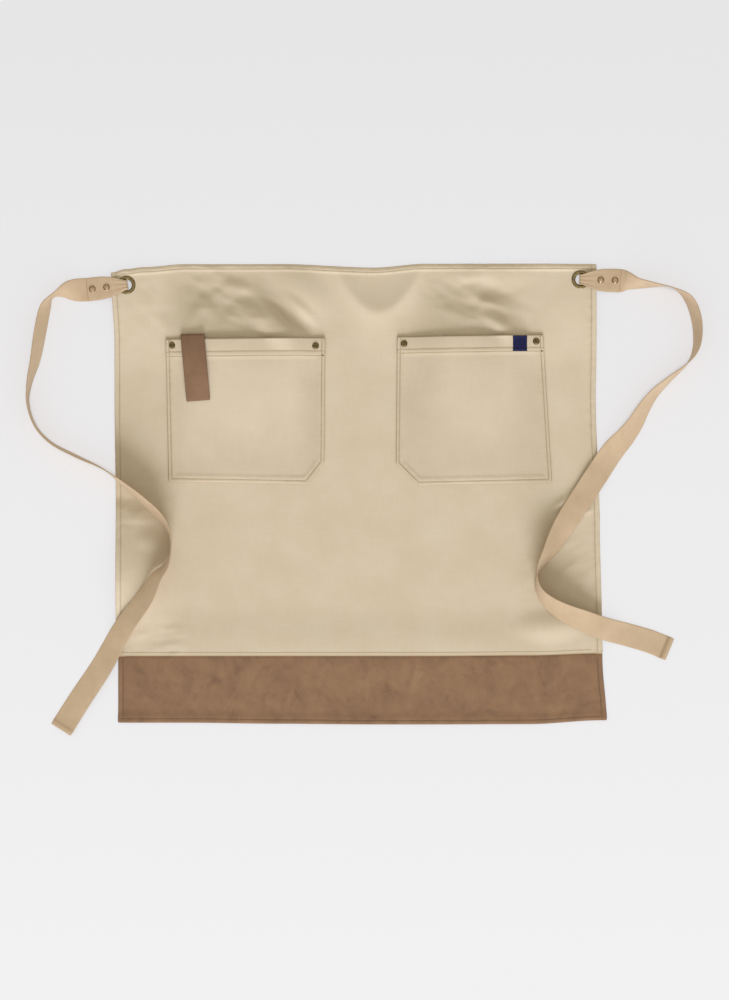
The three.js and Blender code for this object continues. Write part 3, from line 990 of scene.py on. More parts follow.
@dataclass(frozen=True)
class Stitches:
    """Sewing thread: how long and thick a stitch is, and how far apart two stitches start."""

    pitch: float = 3.4
    length: float = 2.7
    radius: float = 0.36
    sides: int = 6
    shares: tuple[float, ...] = (0.0, 0.16, 0.5, 0.84, 1.0)
    girths: tuple[float, ...] = (0.5, 1.0, 1.0, 1.0, 0.5)
    lifts: tuple[float, ...] = (-0.9, 0.15, 0.4, 0.15, -0.9)

    def sew(self, name: str, runs: Sequence[Run], finish: Finish, slot: str) -> Piece:
        """Sews along some lines and joins all the stitches into one piece.

        Args:
            name: the piece's name.
            runs: the lines of stitching.
            finish: the thread.
            slot: the material slot of the cloth that it holds.

        Returns:
            The piece.
        """
        rings = np.concatenate([self.rings(run) for run in runs])
        around = self.sides
        per_stitch = len(self.shares) * around
        lap = np.arange(around)
        next_lap = np.roll(lap, -1)
        walls = np.concatenate([
            np.stack([lap, next_lap, next_lap + around, lap + around], axis=1) + ring * around
            for ring in range(len(self.shares) - 1)
        ])
        starts = np.arange(len(rings)) * per_stitch
        quads = (walls[None] + starts[:, None, None]).reshape(-1, 4).tolist()
        ends = []
        for start in starts:
            ends.append((start + lap[::-1]).tolist())
            ends.append((start + per_stitch - around + lap).tolist())
        mesh = bpy.data.meshes.new(name)
        mesh.from_pydata((rings.reshape(-1, 3) * MM).tolist(), [], quads + ends)
        mesh.shade_smooth()
        return settle(new_piece(name, mesh, finish), slot)

    def rings(self, run: Run) -> Array:
        """Shapes the stitches of a line.

        Args:
            run: the line of stitching.

        Returns:
            The points of each stitch, ring by ring along it and side by side round it.
        """
        steps = np.linalg.norm(np.diff(run.points, axis=0), axis=1)
        along = np.concatenate([[0.0], np.cumsum(steps)])
        count = max(1, int((along[-1] - self.length) // self.pitch) + 1)
        spare = along[-1] - (count - 1) * self.pitch - self.length
        starts = spare / 2 + np.arange(count) * self.pitch
        at = starts[:, None] + np.array(self.shares) * self.length
        centre = np.stack([np.interp(at, along, run.points[:, k]) for k in range(3)], axis=-1)
        normal = np.stack([np.interp(at, along, run.normals[:, k]) for k in range(3)], axis=-1)
        forward = (centre[:, -1] - centre[:, 0])[:, None, :]
        forward = forward / np.linalg.norm(forward, axis=-1, keepdims=True)
        normal = normal - forward * np.sum(normal * forward, axis=-1, keepdims=True)
        normal /= np.linalg.norm(normal, axis=-1, keepdims=True)
        beside = np.cross(normal, forward)
        centre = centre + normal * (np.array(self.lifts) * self.radius)[None, :, None]
        turn = 2 * np.pi * np.arange(self.sides) / self.sides
        girth = self.radius * np.array(self.girths)[None, :, None, None]
        spoke = beside[:, :, None, :] * np.cos(turn)[:, None] + normal[:, :, None, :] * np.sin(turn)[:, None]
        return centre[:, :, None, :] + spoke * girth


STITCHES = Stitches()


# Modelling by operators


class Step(NamedTuple):
    """One inset of a cap: how wide it is and how far it rises."""

    width: float
    rise: float


class Ring(NamedTuple):
    """A dark ring round a fitting's axis: its radius, its width and its darkness."""

    radius: float
    width: float
    dark: float


class Bench:
    """A metal piece on the bench, shaped in edit mode by one operator after another.

    LEVEL and TOUCH tell the flat face at an end from other faces, and SEAT what lies below the seat.
    """

    LEVEL = 0.99
    TOUCH = 1e-7
    SEAT = -1e-6
    BEVEL_SEGMENTS = 2
    BEVEL_ANGLE = 35.0
    SMOOTH_ANGLE = 50.0

    def __init__(self, name: str, radius: float, depth: float, sides: int) -> None:
        """Starts from a cylinder on the Z axis.

        Args:
            name: the piece's name.
            radius: the cylinder's radius.
            depth: its height, from z = 0 up.
            sides: how many sides it has.
        """
        bpy.ops.object.select_all(action="DESELECT")
        bpy.ops.mesh.primitive_cylinder_add(
            vertices=sides, radius=radius * MM, depth=depth * MM, location=(0, 0, depth * MM / 2)
        )
        self.piece = bpy.context.object
        self.piece.name = name
        self.piece.data.name = name
        bpy.ops.object.transform_apply(location=True, rotation=True, scale=True)
        bpy.context.tool_settings.mesh_select_mode = (False, False, True)
        bpy.ops.object.mode_set(mode="EDIT")

    def pick(self, chosen: Callable[[bpy.types.MeshPolygon], bool]) -> None:
        """Selects some faces and no others.

        Args:
            chosen: the test that a face has to pass.
        """
        bpy.ops.mesh.select_all(action="DESELECT")
        bpy.ops.object.mode_set(mode="OBJECT")
        for face in self.piece.data.polygons:
            face.select = chosen(face)
        bpy.ops.object.mode_set(mode="EDIT")

    def pick_cap(self, upper: bool) -> None:
        """Selects the flat face at one end.

        Args:
            upper: whether it is the one at the top.
        """
        sign = 1 if upper else -1
        faces = self.piece.data.polygons
        caps = [face.center.z * sign for face in faces if face.normal.z * sign > self.LEVEL]
        end = max(caps) - self.TOUCH
        self.pick(lambda face: face.normal.z * sign > self.LEVEL and face.center.z * sign > end)

    def inset(self, width: float, rise: float = 0.0) -> None:
        """Insets the picked face and moves it out by a rise."""
        bpy.ops.mesh.inset(thickness=width * MM, depth=rise * MM)

    def extrude(self, rise: float) -> None:
        """Extrudes the picked face along Z."""
        bpy.ops.mesh.extrude_region_move(TRANSFORM_OT_translate={"value": (0, 0, rise * MM)})

    def spread(self, share: float) -> None:
        """Extrudes the picked face in place and widens it."""
        self.extrude(0.0)
        bpy.ops.transform.resize(value=(share, share, 1), center_override=(0, 0, 0))

    def remove(self) -> None:
        """Deletes the picked face and leaves its edges."""
        bpy.ops.mesh.delete(type="ONLY_FACE")

    def bridge(self) -> None:
        """Joins the two open rims."""
        bpy.context.tool_settings.mesh_select_mode = (False, True, False)
        bpy.ops.mesh.select_all(action="DESELECT")
        bpy.ops.mesh.select_non_manifold()
        bpy.ops.mesh.bridge_edge_loops()

    def finish(self, edge: float) -> Piece:
        """Rounds the edges with an applied bevel.

        Args:
            edge: how wide the bevel is.

        Returns:
            The piece.
        """
        bpy.ops.object.mode_set(mode="OBJECT")
        rounding = self.piece.modifiers.new("rounding", "BEVEL")
        rounding.width = edge * MM
        rounding.segments = self.BEVEL_SEGMENTS
        rounding.limit_method = "ANGLE"
        rounding.angle_limit = math.radians(self.BEVEL_ANGLE)
        bpy.ops.object.modifier_apply(modifier=rounding.name)
        bpy.ops.object.shade_smooth_by_angle(angle=math.radians(self.SMOOTH_ANGLE))
        return self.piece


def mark_tarnish(piece: Piece, rings: Sequence[Ring], base: float, back: float = 0.5) -> None:
    """Writes how dark each point of a fitting is, by its distance from the axis.

    Args:
        piece: the fitting, with its axis on Z and its seat at the origin.
        rings: the dark rings.
        base: the darkness elsewhere on what stands above the seat.
        back: the darkness of what is below the seat.
    """
    mesh = piece.data
    radius = np.array([math.hypot(v.co.x, v.co.y) / MM for v in mesh.vertices])
    dark = np.array([base if v.co.z >= Bench.SEAT else back for v in mesh.vertices])
    for ring in rings:
        dark = dark + ring.dark * line_dip(radius - ring.radius, ring.width)
    mark = mesh.attributes.new(TARNISH_MARK, "FLOAT", "POINT")
    mark.data.foreach_set("value", dark.astype(np.float32))


def cut_round_holes(
    piece: Piece, places: Sequence[tuple[float, float]], radius: float, reach: float = 60.0,
    sides: int = 48,
) -> None:
    """Cuts upright round holes through a piece with an applied boolean.

    Args:
        piece: the piece.
        places: the holes' middles.
        radius: their radius.
        reach: how tall the cutters are, half of it below the table.
        sides: how many sides a hole has.
    """
    cutters = []
    for x, y in places:
        cutter = Bench("hole", radius, reach, sides)
        bpy.ops.object.mode_set(mode="OBJECT")
        cutter.piece.data.transform(Matrix.Translation(Vector((x, y, -reach / 2)) * MM))
        cutters.append(cutter.piece)
    for cutter in cutters:
        bpy.ops.object.select_all(action="DESELECT")
        bpy.context.view_layer.objects.active = piece
        piece.select_set(True)
        hole = piece.modifiers.new("hole", "BOOLEAN")
        hole.operation = "DIFFERENCE"
        hole.object = cutter
        bpy.ops.object.modifier_apply(modifier=hole.name)
        bpy.data.objects.remove(cutter)


# Sub-assemblies


@dataclass
class Panel:
    """The apron's canvas, hemmed on three sides and sewn over the band along its foot."""

    width: float = 700.0
    height: float = 564.0
    step: float = 3.2
    hem_stitch: float = 7.0
    edge_stitch: float = 2.2
    seam_stitch: float = 5.0
    seam_ease: float = 0.4
    groove: float = 0.6
    groove_width: float = 0.9
    tension: float = 0.6
    hem_edge: float = 0.5
    pucker: float = 0.35
    pucker_size: float = 9.0
    pucker_seed: float = 2.9
    pucker_reach: float = 21.0
    # Painted shade along the canvas's rim
    rim_painted_shade: float = 0.4
    edge_stops: tuple[float, ...] = (0.8, 1.6, 2.2, 3.0, 4.5, 6.0, 7.0, 8.0, 9.5, 12.0)
    seam_stops: tuple[float, ...] = (0.8, 2.0, 3.5, 5.0, 6.5, 9.0, 14.0, 18.0, 22.0)
    eyelet_hole: float = 9.0
    side_span: tuple[float, float] = (-225.0, 325.0)
    side_points: int = 190
    waist_gap: float = 1.0
    end_span: tuple[float, float] = (-351.0, 334.0)
    end_points: int = 240

    def pinch_and_shade(self, x: Array, y: Array) -> Array:
        """How far the stitching draws the canvas together, which also sets the canvas's painted shade there.

        Args:
            x: places across.
            y: places up.

        Returns:
            The pinch there, from 0 to 1.
        """
        waist, seam = LIE.end("waist", x) - y, y - LIE.end("seam", x)
        hems = (LIE.inset(x, y) - self.hem_stitch, waist - self.hem_stitch, waist - self.edge_stitch)
        firm = drawn_in(hems, self.groove_width, x, y)
        loose = self.seam_ease * drawn_in((seam - self.seam_stitch,), self.groove_width, x, y)
        return self.tension * np.maximum(firm, loose)

    def thickness(self, x: Array, y: Array) -> Array:
        """How thick the canvas is, with its hems, the dips of its seams and the puckers beside them.

        Args:
            x: places across.
            y: places up.

        Returns:
            The thickness there.
        """
        hem = np.minimum(LIE.inset(x, y), LIE.end("waist", x) - y)
        doubled = 1.0 - smoothstep(hem, LAYERS.hem_width + self.hem_edge, LAYERS.hem_width + LAYERS.hem_fade)
        thick = LAYERS.canvas + (LAYERS.hem - LAYERS.canvas) * doubled - self.groove * self.pinch_and_shade(x, y)
        beside = 1.0 - smoothstep(hem, LAYERS.hem_width, self.pucker_reach)
        return thick + self.pucker * beside * wander(x + y, y - x, self.pucker_size, self.pucker_seed)

    def top(self, x: Array, y: Array) -> Array:
        """Height of the canvas's face."""
        return LIE.under(x, y) + self.thickness(x, y)

    def build(self) -> None:
        """Makes the canvas, its eyelet holes and its stitching."""
        columns = grid_lines(self.width, self.edge_stops, self.edge_stops, self.step) / self.width
        rows = grid_lines(self.height, self.seam_stops, self.edge_stops, self.step) / self.height
        across, up = np.meshgrid(columns, rows)
        x, y = LIE.flat_point(across, up, "seam", "waist")
        pinch_and_shade = self.pinch_and_shade(x, y)
        # The lowest row, at the band's seam, gets full painted shade to darken the rim there
        pinch_and_shade[0] = 1.0
        pattern = (across * self.width, up * self.height)
        sheet = Sheet.face_up((x, y, LIE.under(x, y)), self.thickness(x, y), pattern, pinch_and_shade, self.rim_painted_shade)
        canvas = sheet.make("canvas_panel", CANVAS)
        cut_round_holes(canvas, [(place.x, place.y) for place in EYELETS.values()], self.eyelet_hole)
        settle(canvas, "canvas", "panel")
        stitching = STITCHES.sew("panel_stitching", self.runs(), CREAM_THREAD, "canvas")
        self.width * MM
        self.height * MM

    def runs(self) -> list[Run]:
        """Lays out the stitching.

        Returns:
            One line down each side, two along the waist and one above the seam.
        """
        up = np.linspace(*self.side_span, self.side_points)
        runs = []
        for side in Side:
            x = LIE.side(side, up) + side.hand * self.hem_stitch
            inside = up < LIE.end("waist", x) - self.waist_gap
            runs.append(run_on_top(x[inside], up[inside], self.top))
        across = np.linspace(*self.end_span, self.end_points)
        lines = (("waist", -self.hem_stitch), ("waist", -self.edge_stitch), ("seam", self.seam_stitch))
        for edge, inset in lines:
            runs.append(run_on_top(across, LIE.end(edge, across) + inset, self.top))
        return runs


@dataclass
class Band:
    """The suede band along the foot, tucked behind the canvas and hemmed below."""

    height: float = 97.0
    hem_span: tuple[float, float] = (6.0, 18.0)
    hem_rise: float = 0.6
    hem_stitch: float = 5.2
    side_stitch: float = 7.0
    seam_shade: float = 1.0
    groove: float = 0.45
    groove_width: float = 1.0
    tension: float = 0.6
    swell: float = 0.35
    swell_size: float = 26.0
    swell_seed: float = 6.4
    swell_span: tuple[float, float] = (2.0, 14.0)
    # Full painted shade along the band's rim
    rim_painted_shade: float = 1.0
    step: float = 3.6
    side_stops: tuple[float, ...] = (0.8, 2.0, 4.0, 6.0, 7.0, 8.0, 10.0)
    foot_stops: tuple[float, ...] = (1.0, 2.5, 4.0, 5.2, 6.4, 8.5, 11.0, 13.0)
    top_stops: tuple[float, ...] = (0.8, 4.0, 8.0, 10.5, 12.0, 13.0, 14.0, 16.0)
    foot_span: tuple[float, float] = (-345.0, 350.0)
    foot_points: int = 240
    side_span: tuple[float, float] = (-318.0, -236.0)
    side_points: int = 40

    def pinch_and_shade(self, x: Array, y: Array) -> Array:
        """How far the stitching and the canvas's edge press the suede together, which also sets the suede's
        painted shade.

        Args:
            x: places across.
            y: places up.

        Returns:
            The pinch there, from 0 to 1.
        """
        foot, seam = y - LIE.end("foot", x), LIE.end("seam", x) - y
        # The last line, just under the canvas's edge, is a painted shadow of that edge as well as a shallow
        # dip
        lines = (foot - self.hem_stitch, LIE.inset(x, y) - self.side_stitch, seam - self.seam_shade)
        return self.tension * drawn_in(lines, self.groove_width, x, y)

    def thickness(self, x: Array, y: Array) -> Array:
        """How thick the band is, with its hem, the dips of its seams and a soft unevenness.

        Args:
            x: places across.
            y: places up.

        Returns:
            The thickness there.
        """
        doubled = 1.0 - smoothstep(y - LIE.end("foot", x), *self.hem_span)
        thick = LAYERS.leather * (1.0 + self.hem_rise * doubled) - self.groove * self.pinch_and_shade(x, y)
        free = smoothstep(LIE.end("seam", x) - y, *self.swell_span)
        return thick + self.swell * free * (0.5 + 0.5 * wander(x, y, self.swell_size, self.swell_seed))

    def build(self) -> None:
        """Makes the band and its stitching."""
        width, height = Panel.width, self.height + LAYERS.band_tuck
        columns = grid_lines(width, self.side_stops, self.side_stops, self.step) / width
        rows = grid_lines(height, self.foot_stops, self.top_stops, self.step) / height
        across, up = np.meshgrid(columns, rows)
        x, y = LIE.flat_point(across, up, "foot", "seam", LAYERS.band_tuck)
        pattern = (across * width, up * height)
        sheet = Sheet.face_up((x, y, 0.0), self.thickness(x, y), pattern, self.pinch_and_shade(x, y), self.rim_painted_shade)
        suede = settle(sheet.make("suede_band", SUEDE), "suede", "hem_band")
        stitching = STITCHES.sew("band_stitching", self.runs(), BROWN_THREAD, "suede")

    def runs(self) -> list[Run]:
        """Lays out the stitching.

        Returns:
            One line along the hem and one down each side.
        """
        across = np.linspace(*self.foot_span, self.foot_points)
        runs = [run_on_top(across, LIE.end("foot", across) + self.hem_stitch, self.thickness)]
        up = np.linspace(*self.side_span, self.side_points)
        for side in Side:
            runs.append(run_on_top(LIE.side(side, up) + side.hand * self.side_stitch, up, self.thickness))
        return runs


@dataclass(frozen=True)
class PocketCut:
    """A pocket's corners as sewn, its bevelled lower corner and the widths that its rivets hold flat."""

    upper_left: tuple[float, float]
    upper_right: tuple[float, float]
    lower_left: tuple[float, float]
    lower_right: tuple[float, float]
    bevel_side: Side
    bevel_across: float
    bevel_up: float
    held: tuple[float, float]
    hem_lines: tuple[float, float]
    gape: float


POCKET_CUTS = {
    Side.LEFT: PocketCut(
        (-279, 224), (-50.5, 226.5), (-275, 19.5), (-52, 16), Side.RIGHT, bevel_across=24, bevel_up=31,
        held=(15, 19), hem_lines=(18.5, 25.0), gape=4.5,
    ),
    Side.RIGHT: PocketCut(
        (54, 227.5), (263, 230.5), (52, 14), (276, 18.5), Side.LEFT, bevel_across=31, bevel_up=31,
        held=(15, 15), hem_lines=(18, 23.5), gape=4,
    ),
}


@dataclass
class Pocket:
    """A patch pocket: sewn down on three sides, riveted at its upper corners, with a gaping mouth."""

    side: Side
    step: float = 2.4
    edge_stitch: float = 4.2
    turn_in: float = 9.0
    turned: float = 0.5
    groove: float = 0.35
    groove_width: float = 0.8
    pucker: float = 0.18
    pucker_size: float = 8.0
    pucker_seed: float = 4.6
    hem_inner: float = 2.0
    hem_outer: float = 5.0
    arch_power: float = 0.75
    mouth_share: float = 0.7
    seam_rise: float = 9.0
    # Painted shade along the pocket's rim
    rim_painted_shade: float = 0.9
    edge_stops: tuple[float, ...] = (0.6, 1.4, 2.4, 3.4, 4.2, 5.0, 6.0, 7.4, 9.0, 11.0)
    mouth_stops: tuple[float, ...] = (0.9, 2.5, 5.0)
    line_stops: tuple[float, ...] = (-1.6, -0.8, 0.0, 0.8, 1.6)
    run_step: float = 3.0
    hem_points: int = 90
    mouth_gap: float = 1.5
    tack_length: float = 6.0
    tack_points: int = 4
    tack_rows: tuple[float, ...] = (-0.7, 0.0, 0.7)
    share_rounds: int = 6

    @property
    def cut(self) -> PocketCut:
        """The pocket's own sizes."""
        return POCKET_CUTS[self.side]

    @property
    def width(self) -> float:
        """The length of the mouth."""
        return math.dist(self.cut.upper_left, self.cut.upper_right)

    @property
    def height(self) -> float:
        """The length of the left side."""
        return math.dist(self.cut.upper_left, self.cut.lower_left)

    def place(self, across: Array, up: Array) -> tuple[Array, Array]:
        """Lays points of the pocket on the table.

        Args:
            across: shares of the width, from the left side.
            up: shares of the height, from the foot.

        Returns:
            The places across and up.
        """
        corners = (self.cut.lower_left, self.cut.lower_right, self.cut.upper_left, self.cut.upper_right)
        weights = ((1 - across) * (1 - up), across * (1 - up), (1 - across) * up, across * up)
        x, y = (sum(weight * corner[k] for weight, corner in zip(weights, corners)) for k in range(2))
        return x, y

    def shares(self, x: Array, y: Array) -> tuple[Array, Array]:
        """Finds places on the table in the pocket, in a few rounds.

        Args:
            x: places across.
            y: places up.

        Returns:
            The shares of the width and of the height there.
        """
        across, up = np.full_like(x, 0.5), np.full_like(x, 0.5)
        for _ in range(self.share_rounds):
            left, _ = self.place(np.zeros_like(up), up)
            right, _ = self.place(np.ones_like(up), up)
            across = (x - left) / (right - left)
            _, foot = self.place(across, np.zeros_like(up))
            _, mouth = self.place(across, np.ones_like(up))
            up = (y - foot) / (mouth - foot)
        return across, up

    def under(self, across: Array, up: Array) -> Array:
        """Height of the pocket's underside; above the mouth it runs on level with the mouth's edge.

        Args:
            across: shares of the width, from the left side.
            up: shares of the height, from the foot.

        Returns:
            The heights there.
        """
        held_left, held_right = self.cut.held
        share = (across * self.width - held_left) / (self.width - held_left - held_right)
        arch = np.sin(np.pi * np.clip(share, 0.0, 1.0)) ** self.arch_power
        below = np.clip(up, 0.0, 1.0)
        mouth_rise = np.sin(np.pi / 2 * below)
        seam_rise = 1.0 - np.exp(-below * self.height / self.seam_rise)
        rise = self.mouth_share * mouth_rise + (1.0 - self.mouth_share) * seam_rise
        bed = LIE.under(*self.place(across, below)) + LAYERS.canvas + LAYERS.gap
        return bed + self.cut.gape * arch * rise

    def edges(self) -> tuple[Array, Array, Array]:
        """The sewn edge, from the mouth's left end down and round to its right end.

        Returns:
            Its corners, and the directions along each stretch and from it into the pocket.
        """
        cut = self.cut
        if cut.bevel_side is Side.RIGHT:
            x, y = cut.lower_right
            foot = [cut.lower_left, (x - cut.bevel_across, y), (x, y + cut.bevel_up)]
        else:
            x, y = cut.lower_left
            foot = [(x, y + cut.bevel_up), (x + cut.bevel_across, y), cut.lower_right]
        corners = np.array([cut.upper_left, *foot, cut.upper_right], float)
        ahead = np.diff(corners, axis=0)
        ahead /= np.linalg.norm(ahead, axis=1, keepdims=True)
        return corners, ahead, np.stack([-ahead[:, 1], ahead[:, 0]], axis=1)

    def insets(self, x: Array, y: Array) -> tuple[Array, Array]:
        """How far points lie in from the sewn edge and down from the mouth.

        Args:
            x: places across.
            y: places up.

        Returns:
            The distances from the sewn edge and from the mouth.
        """
        corners, _, inward = self.edges()
        sewn = [(x - at[0]) * into[0] + (y - at[1]) * into[1] for at, into in zip(corners, inward)]
        _, up = self.shares(x, y)
        return np.minimum.reduce(sewn), (1.0 - up) * self.height

    def pinch_and_shade(self, x: Array, y: Array) -> Array:
        """How far the stitching draws the canvas together, which also sets the pocket's painted shade there.

        Args:
            x: places across.
            y: places up.

        Returns:
            The pinch there, from 0 to 1.
        """
        inset, down = self.insets(x, y)
        lines = (inset - self.edge_stitch, *(down - line for line in self.cut.hem_lines))
        return drawn_in(lines, self.groove_width, x, y)

    def thickness(self, x: Array, y: Array) -> Array:
        """How thick the pocket is, with its hem, its turned edges, the dips of its seams and puckers.

        Args:
            x: places across.
            y: places up.

        Returns:
            The thickness there.
        """
        inset, down = self.insets(x, y)
        line = self.cut.hem_lines[1]
        hem = 1.0 - smoothstep(down, line - self.hem_inner, line + self.hem_outer)
        turned_in = 1.0 - smoothstep(inset, self.turn_in, self.turn_in + LAYERS.hem_fade)
        thick = LAYERS.canvas + (LAYERS.hem - LAYERS.canvas) * hem + self.turned * turned_in * (1.0 - hem)
        thick -= self.groove * self.pinch_and_shade(x, y)
        return thick + self.pucker * turned_in * wander(x + y, y - x, self.pucker_size, self.pucker_seed)

    def top(self, x: Array, y: Array) -> Array:
        """Height of the pocket's face at places on the table."""
        return self.under(*self.shares(x, y)) + self.thickness(x, y)

    def build(self) -> None:
        """Makes the pocket and its stitching."""
        cut = self.cut
        columns = grid_lines(self.width, self.edge_stops, self.edge_stops, self.step) / self.width
        hem_stops = [line + stop for line in cut.hem_lines for stop in self.line_stops]
        rows = grid_lines(self.height, self.edge_stops, [*self.mouth_stops, *hem_stops], self.step)
        rows[np.argmin(np.abs(rows - cut.bevel_up))] = cut.bevel_up
        share, up = np.meshgrid(columns, rows / self.height)
        cut_back = cut.bevel_across / self.width * np.clip(1.0 - up * self.height / cut.bevel_up, 0.0, 1.0)
        shrunk = share * (1.0 - cut_back)
        across = shrunk if cut.bevel_side is Side.RIGHT else shrunk + cut_back
        x, y = self.place(across, up)
        places = (x, y, self.under(across, up))
        pattern = (across * self.width, up * self.height)
        sheet = Sheet.face_up(places, self.thickness(x, y), pattern, self.pinch_and_shade(x, y), self.rim_painted_shade)
        side = self.side.value
        cloth = settle(sheet.make(f"canvas_pocket_{side}", POCKET_CANVAS), "canvas", f"pocket_{side}")
        stitching = STITCHES.sew(f"pocket_stitching_{side}", self.runs(), CREAM_THREAD, "canvas")
        tack = STITCHES.sew(f"pocket_tack_{side}", self.tack(), BROWN_THREAD, "canvas")
        self.width * MM
        self.height * MM

    def level_run(self, across: Array, down: float) -> Run:
        """A line of stitching at one distance below the mouth."""
        x, y = self.place(across, np.full_like(across, 1.0 - down / self.height))
        return run_on_top(x, y, self.top)

    def tack(self) -> list[Run]:
        """The short dense rows that close the right end of the hem's lower line."""
        across = np.linspace(1.0 - self.tack_length / self.width, 1.0, self.tack_points)
        return [self.level_run(across, self.cut.hem_lines[1] + row) for row in self.tack_rows]

    def runs(self) -> list[Run]:
        """Lays out the stitching.

        Returns:
            One line for each stretch of the sewn edge and two along the hem.
        """
        corners, ahead, inward = self.edges()
        inner = [corners[0] + inward[0] * self.edge_stitch + ahead[0] * self.mouth_gap]
        for corner, before, after in zip(corners[1:], inward, inward[1:]):
            inner.append(corner + (before + after) * self.edge_stitch / (1.0 + before @ after))
        inner.append(corners[-1] + inward[-1] * self.edge_stitch - ahead[-1] * self.mouth_gap)
        runs = []
        for start, end in zip(inner, inner[1:]):
            count = max(2, round(math.dist(start, end) / self.run_step))
            x, y = (np.linspace(start[k], end[k], count) for k in range(2))
            runs.append(run_on_top(x, y, self.top))
        margin = self.edge_stitch / self.width
        across = np.linspace(margin, 1.0 - margin, self.hem_points)
        return runs + [self.level_run(across, line) for line in self.cut.hem_lines]


@dataclass
class Tab:
    """The leather tab that turns over the left pocket's mouth and hangs down in front of it."""

    pocket: Pocket
    across: float = 39.0
    width: float = 33.0
    above: float = 7.0
    below: float = 88.0
    inside: float = 36.0
    lean: float = 0.073
    bow: float = 3.0
    dish: float = 0.3
    columns: int = 17
    step: float = 2.5
    turn_rows: int = 13
    # Painted shade along the tab's rim
    rim_painted_shade: float = 0.7

    def build(self) -> None:
        """Makes the tab."""
        radius = LAYERS.hem / 2 + LAYERS.gap + LAYERS.leather / 2
        crest = self.above - radius - LAYERS.leather / 2
        back = np.arange(self.inside, -crest, -self.step)
        front = np.linspace(-crest, self.below, round((self.below + crest) / self.step))[1:]
        arc = np.linspace(-90, 90, self.turn_rows)
        down = np.concatenate([back, np.full(len(arc), -crest), front])
        angle = np.radians(np.concatenate([np.full(len(back), -90), arc, np.full(len(front), 90)]))
        hang = np.concatenate([np.zeros(len(back) + len(arc)), (front + crest) / (self.below + crest)])
        lengths = np.concatenate([self.inside - back, self.inside + crest + np.radians(arc + 90) * radius])
        lengths = np.concatenate([lengths, lengths[-1] + front + crest])
        share = np.linspace(-0.5, 0.5, self.columns)
        shape = (len(down), self.columns)
        beside = self.across + share[None, :] * self.width + down[:, None] * self.lean
        square = self.lean * self.width * share[None, :] * hang[:, None]
        up = 1.0 - (down[:, None] - square) / self.pocket.height
        x, y = self.pocket.place(beside / self.pocket.width, up)
        z = self.pocket.under(beside / self.pocket.width, up) + LAYERS.hem / 2
        z = z + self.bow * np.sin(np.pi * hang)[:, None]
        z = z + self.dish * np.cos(2 * np.pi * share)[None, :] * hang[:, None]
        lift = np.stack([np.zeros_like(angle), np.cos(angle), np.sin(angle)], axis=-1)
        normal = np.broadcast_to(lift[:, None, :], (*shape, 3))
        middle = np.stack([x, y, z], axis=-1) + normal * radius
        pattern = strip_pattern(share * self.width, lengths)
        thick = np.full(shape, LAYERS.leather)
        sheet = Sheet(middle, normal, thick, pattern, np.zeros(shape), self.rim_painted_shade)
        tab = settle(sheet.make("tab_strip", TAB_LEATHER), "leather", "leather_tab")
        self.width * MM


@dataclass
class Label:
    """The plain woven label on the right pocket's hem, with its ends turned under and sewn."""

    pocket: Pocket
    across: float = 176.0
    width: float = 20.0
    down: float = 1.0
    height: float = 22.0
    thickness: float = 0.8
    thinner: float = 0.3
    end_span: tuple[float, float] = (2.5, 4.0)
    gap: float = 0.1
    stitch: float = 1.6
    stitch_span: tuple[float, float] = (0.04, 0.96)
    stitch_points: int = 16
    # Painted shade along the label's rim
    rim_painted_shade: float = 0.5
    columns: int = 21
    rows: int = 23

    def spot(self, share: Array, rise: Array) -> tuple[Array, Array]:
        """Lays points of the label on the table.

        Args:
            share: shares of its width, from the left side.
            rise: shares of its height, from its lower end.

        Returns:
            The places across and up.
        """
        beside = (self.across + (share - 0.5) * self.width) / self.pocket.width
        up = 1.0 - (self.down + (1.0 - rise) * self.height) / self.pocket.height
        x, _ = self.pocket.place(beside, np.ones_like(up))
        _, y = self.pocket.place(beside, up)
        return x, y

    def under(self, x: Array, y: Array) -> Array:
        """Height of the label's underside."""
        return self.pocket.top(x, y) + self.gap

    def top(self, x: Array, y: Array) -> Array:
        """Height of the label's face where its ends are turned under."""
        return self.under(x, y) + self.thickness

    def build(self) -> None:
        """Makes the label and the stitching along its two ends."""
        share, rise = np.meshgrid(np.linspace(0, 1, self.columns), np.linspace(0, 1, self.rows))
        x, y = self.spot(share, rise)
        ends = np.minimum(rise, 1.0 - rise) * self.height
        thick = self.thickness * (1.0 - self.thinner * smoothstep(ends, *self.end_span))
        pattern = (share * self.width, rise * self.height)
        sheet = Sheet.face_up((x, y, self.under(x, y)), thick, pattern, np.zeros_like(thick), self.rim_painted_shade)
        label = settle(sheet.make("woven_label", SATIN), "label", "label")
        line = np.linspace(*self.stitch_span, self.stitch_points)
        runs = []
        for inset in (self.stitch, self.height - self.stitch):
            x, y = self.spot(line, np.full_like(line, inset / self.height))
            runs.append(run_on_top(x, y, self.top))
        stitching = STITCHES.sew("label_stitching", runs, NAVY_THREAD, "label")
        self.width * MM
        self.height * MM


class LoopRow(NamedTuple):
    """A tie's doubled end at one distance out: heights of its two layers and how far it is gathered."""

    out: float
    over: float
    under: float
    gather: float


class TailRow(NamedTuple):
    """A point of a tie's free length and its turn about its own length, in degrees."""

    x: float
    y: float
    tilt: float


